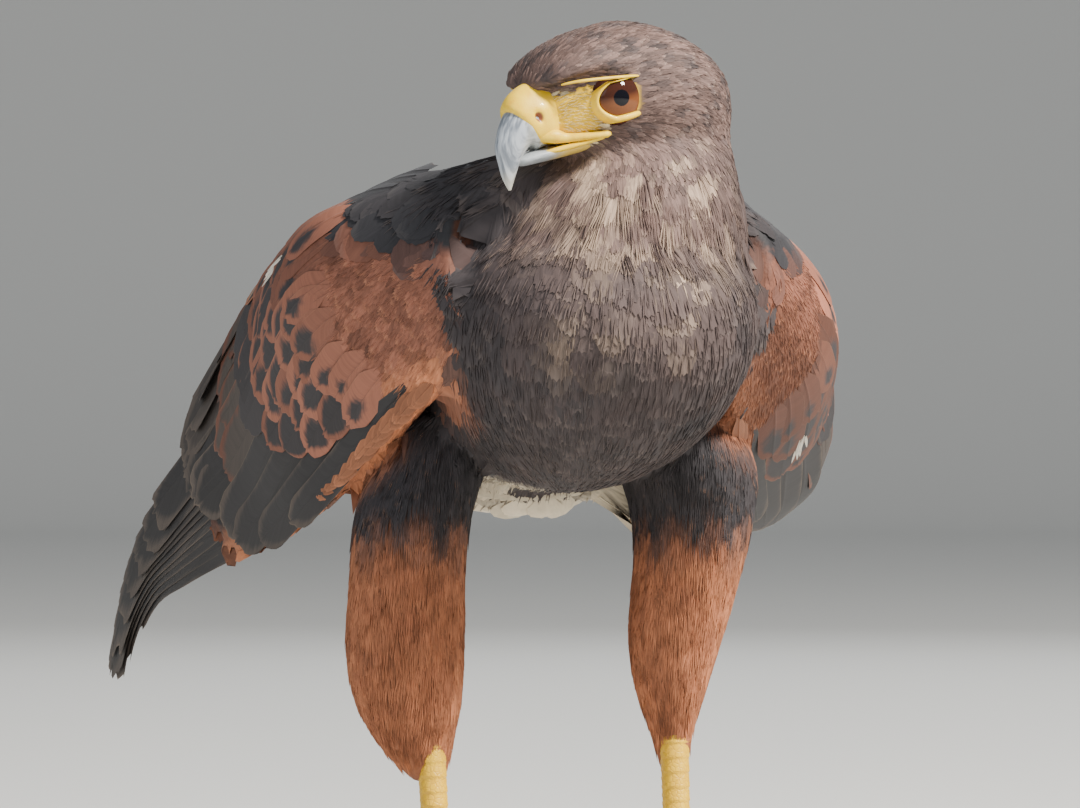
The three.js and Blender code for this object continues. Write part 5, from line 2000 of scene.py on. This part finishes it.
# %% Legs
TARSUS = [
    [9, 39.5, 3, 6.2, 6.4],
    [16, 39.5, 3.4, 5.2, 5.8],
    [28, 39.5, 4.6, 4.3, 5.0],
    [48, 39.6, 7.4, 4.2, 5.1],
    [68, 40.0, 10.6, 4.5, 5.6],
    [84, 40.6, 13.4, 5.2, 6.8],
    [96, 41, 16, 5.4, 7],
]
TOES = [
    ["inner", -34, 31, 4.9, 25],
    ["middle", 6, 47, 4.6, 21],
    ["outer", 46, 37, 4.3, 18],
    ["hind", 188, 25, 5.0, 28],
]
FOOT_X, FOOT_Y = 39.5, 2
SOLE_RADIUS, SOLE_HIGH = 8.2, 7.6
PLATE_LONG, PLATE_HIGH, TOE_PLATE_LONG = 4.6, 0.42, 3.4
FLOOR_GAP = 0.02


def foot_middle(side, high=0.0):
    return np.array([side * FOOT_X, FOOT_Y, high])


def above_floor(grid):
    """The same rings, flattened where they would pass through the floor."""
    grid[..., 2] = np.maximum(grid[..., 2], FLOOR_GAP)
    return grid


def tarsus_rings(side):
    t = np.linspace(0, 1, 260)
    z, x, y, half, deep = blend(TARSUS, t).T
    grid = rings(np.stack([side * x, y, z], -1), X, Y, half, deep, deep, 48)
    centre = np.stack([side * x, y, z], -1)[:, None]
    angle = np.linspace(0, 2 * np.pi, 48, endpoint=False)[None]
    front = smooth_step(0.1, 0.6, -np.sin(angle))
    step = 1 - (z[:, None] / PLATE_LONG) % 1
    plates = PLATE_HIGH * step * front
    rows = np.cos(z[:, None] * 2.4) * np.cos(angle * 9)
    small = 0.16 * rows * (1 - front)
    return grid + unit(grid - centre) * (plates + small)[..., None]


def ground_rings(start, way, rows, steps, count, plates):
    """A toe or claw: distance, height, half width and half height along a line on the floor."""
    t = np.linspace(0, 1, steps)
    d, h, wide, high = blend(rows, t).T
    centres = start + d[:, None] * way
    centres[:, 2] = h
    along = unit(np.gradient(centres, axis=0))
    across = np.broadcast_to(np.cross(Z, way), centres.shape)
    rise = unit(np.cross(along, across))
    grid = rings(centres, across, rise, wide, high, high, count)
    angle = np.linspace(0, 2 * np.pi, count, endpoint=False)[None]
    if plates:
        top = smooth_step(0.0, 0.6, np.sin(angle))
        pads = smooth_step(0.0, 0.6, -np.sin(angle))
        step = (d[:, None] / TOE_PLATE_LONG) % 1
        scales = 0.14 * np.cos(d[:, None] * 3.2) * np.cos(angle * 7)
        bumps = 0.30 * step * top + scales * (1 - top) * (1 - pads)
        grid = grid + unit(grid - centres[:, None]) * bumps[..., None]
    return above_floor(grid)


def toe_way(side, degrees):
    angle = math.radians(degrees)
    return np.array([side * math.sin(angle), -math.cos(angle), 0])


def toe_rings(side, degrees, length, girth):
    rows = [
        [-2, 8.5, girth * 0.9, girth * 0.9],
        [length * 0.1, 7.8, girth * 1.0, girth * 1.02],
        [length * 0.22, 6.6, girth * 0.9, girth * 0.95],
        [length * 0.4, 4.6, girth * 1.02, girth * 1.02],
        [length * 0.58, 4.2, girth * 0.84, girth * 0.86],
        [length * 0.76, 3.9, girth * 0.94, girth * 0.96],
        [length * 0.9, 3.8, girth * 0.74, girth * 0.8],
        [length, 4.4, girth * 0.6, girth * 0.66],
    ]
    return ground_rings(foot_middle(side), toe_way(side, degrees), rows, 130, 28, True)


def claw_rings(side, degrees, length, girth, reach):
    rows = [
        [length - 3, 4.8, girth * 0.36, girth * 0.42],
        [length + reach * 0.12, 6.6, girth * 0.46, girth * 0.56],
        [length + reach * 0.36, 8.3, girth * 0.36, girth * 0.48],
        [length + reach * 0.58, 7.4, girth * 0.26, girth * 0.36],
        [length + reach * 0.71, 4.2, girth * 0.17, girth * 0.22],
        [length + reach * 0.77, 0.3, 0.4, 0.4],
    ]
    return ground_rings(foot_middle(side), toe_way(side, degrees), rows, 48, 20, False)


def sole_ball(side):
    angle = np.linspace(0.02, np.pi - 0.02, 40)
    centres = foot_middle(side, SOLE_HIGH) + (SOLE_RADIUS * np.cos(angle))[:, None] * Z
    size_of = SOLE_RADIUS * np.sin(angle)
    return above_floor(rings(centres, X, Y, size_of, size_of, size_of, 40))


# %% [markdown]
# The yellow of the legs is deeper in the creases between the plates. The claws are black
# horn, streaked, and glossier in some streaks than in others.

# %% Leg finish
def paint_leg(tree):
    place = tree.place()
    blotch = tree.noise(place, 160.0, 3.0)
    values = {"Vector": place, "Scale": 620.0}
    cells = tree.node("ShaderNodeTexVoronoi", {"feature": "DISTANCE_TO_EDGE"}, values)
    crease = 1 - tree.between(0.02, 0.16, cells["Distance"])
    colour = tree.mix(blotch, (0.58, 0.31, 0.0), (0.78, 0.49, 0.0))
    colour = tree.mix(crease * 0.35, colour, (0.50, 0.24, 0.01))
    normal = tree.bump(1 - 0.8 * crease, 0.4, 0.0003)
    return {"Base Color": colour, "Roughness": 0.38 + 0.25 * blotch, "Normal": normal}


def paint_claw(tree):
    streak = tree.noise(tree.place(), 240.0, 3.0)
    colour = tree.mix(streak, (0.010, 0.009, 0.009), (0.045, 0.038, 0.034))
    return {"Base Color": colour, "Roughness": 0.22 + 0.3 * streak}


leg_look = finish_look("yellow_leg", paint_leg, Coat_Weight=0.12)
claw_look = finish_look("claw_horn", paint_claw, Coat_Weight=0.3)
legs = []
for side, word in ((-1, "right"), (1, "left")):
    shank = joined("shank_" + word, [tarsus_rings(side)])
    shank.data.materials.append(leg_look)
    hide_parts("tarsus_" + word)
    toes = [toe_rings(side, *toe[1:4]) for toe in TOES]
    foot = joined("toes_" + word, toes + [sole_ball(side)])
    foot.data.materials.append(leg_look)
    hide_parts("foot_" + word)
    claws = joined("claws_" + word, [claw_rings(side, *toe[1:]) for toe in TOES])
    claws.data.materials.append(claw_look)
    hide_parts(*[f"claw_{toe[0]}_{word}" for toe in TOES])
    legs += [shank, foot, claws]
print("legs made of", len(legs), "pieces")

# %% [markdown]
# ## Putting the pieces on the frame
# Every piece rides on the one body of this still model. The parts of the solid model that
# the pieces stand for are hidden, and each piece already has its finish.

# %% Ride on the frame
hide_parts("torso", "neck", "head", "thigh_right", "thigh_left")
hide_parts("undertail_coverts", "uppertail_coverts")
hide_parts("cere")
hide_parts("bill_upper")
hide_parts("bill_lower")
everything = [skin, *coat, *wings, tail, cere, upper_bill, lower_bill, *eyes, lids, *legs]
for made in everything:
    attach(made, "root")
print(len(everything), "pieces ride on the frame")

# %% [markdown]
# ## Room, light and camera
# A pale floor that curves up into a wall keeps the studio plain. One strong light stands
# high on the camera's right, as the sun does. A wide weak one opposite stands for the sky
# and another behind lifts the outline. The camera stands 1.5 m away, level with the
# belly, 15 degrees round to the hawk's right.

# %% Studio
CAMERA_TURN = math.radians(-15)
FLOOR_NEAR, FLOOR_FAR, FLOOR_HALF, WALL_BEND, WALL_HIGH = -6000, 5000, 9000, 1500, 8000


def sweep():
    """A floor whose far edge curves up into a wall."""
    line = [(FLOOR_NEAR, 0.0)]
    for angle in np.linspace(0, np.pi / 2, 24):
        line.append((FLOOR_FAR + WALL_BEND * math.sin(angle), WALL_BEND * (1 - math.cos(angle))))
    line.append((FLOOR_FAR + WALL_BEND, WALL_HIGH))
    c, s = math.cos(CAMERA_TURN), math.sin(CAMERA_TURN)
    points, faces = [], []
    for distance, height in line:
        for wide in (-FLOOR_HALF, FLOOR_HALF):
            points.append([wide * c - distance * s, wide * s + distance * c, height])
    for k in range(len(line) - 1):
        faces.append([2 * k, 2 * k + 1, 2 * k + 3, 2 * k + 2])
    made = piece("studio_floor", points, faces)
    plain = finish_look("studio_paper", lambda tree: {}, Base_Color=(0.62, 0.62, 0.60, 1), Roughness=0.9)
    made.data.materials.append(plain)
    return made


def soft_light(name, spot, target, size_of, power, colour=(1, 1, 1)):
    data = bpy.data.lights.new(name, "AREA")
    data.shape = "DISK"
    data.size = size_of
    data.energy = power
    data.color = colour
    made = bpy.data.objects.new(name, data)
    made.location = Vector(np.array(spot) / 1000 + SHIFT)
    aim = Vector(np.array(target) / 1000 + SHIFT) - made.location
    made.rotation_euler = aim.to_track_quat("-Z", "Y").to_euler()
    bpy.context.scene.collection.objects.link(made)
    return made


CAMERA_FAR, CAMERA_ASIDE, CAMERA_HIGH = 1500, -7, 177
PHOTO_FOCAL, PHOTO_WIDE, SENSOR_WIDE = 4765, 1080, 36
sweep()
right_way = np.array([math.cos(CAMERA_TURN), math.sin(CAMERA_TURN), 0])
away_way = np.array([-math.sin(CAMERA_TURN), math.cos(CAMERA_TURN), 0])
middle = [0, 0, 190]
soft_light("sun_side", 1250 * right_way - 950 * away_way + 1650 * Z, middle, 0.45, 150, (1.0, 0.95, 0.88))
soft_light("sky_side", -1100 * right_way - 1300 * away_way + 900 * Z, middle, 1.6, 13, (0.88, 0.94, 1.0))
soft_light("back_side", 200 * right_way + 1700 * away_way + 1100 * Z, middle, 1.4, 9, (0.95, 0.98, 1.0))
world = bpy.data.worlds.new("pale_room")
world.use_nodes = True
sky = world.node_tree.nodes["Background"]
sky.inputs["Color"].default_value = (0.86, 0.9, 0.95, 1)
sky.inputs["Strength"].default_value = 0.45
bpy.context.scene.world = world


def set_camera():
    data = bpy.data.cameras.new("camera")
    data.sensor_fit = "HORIZONTAL"
    data.sensor_width = SENSOR_WIDE
    data.lens = SENSOR_WIDE * PHOTO_FOCAL / PHOTO_WIDE
    made = bpy.data.objects.new("camera", data)
    spot = -CAMERA_FAR * away_way + CAMERA_ASIDE * right_way + CAMERA_HIGH * Z
    made.location = Vector(spot / 1000 + SHIFT)
    made.rotation_euler = (math.pi / 2, 0, CAMERA_TURN)
    bpy.context.scene.collection.objects.link(made)
    bpy.context.scene.camera = made
    return made


camera = set_camera()
print("camera at", np.array(camera.location).round(4))
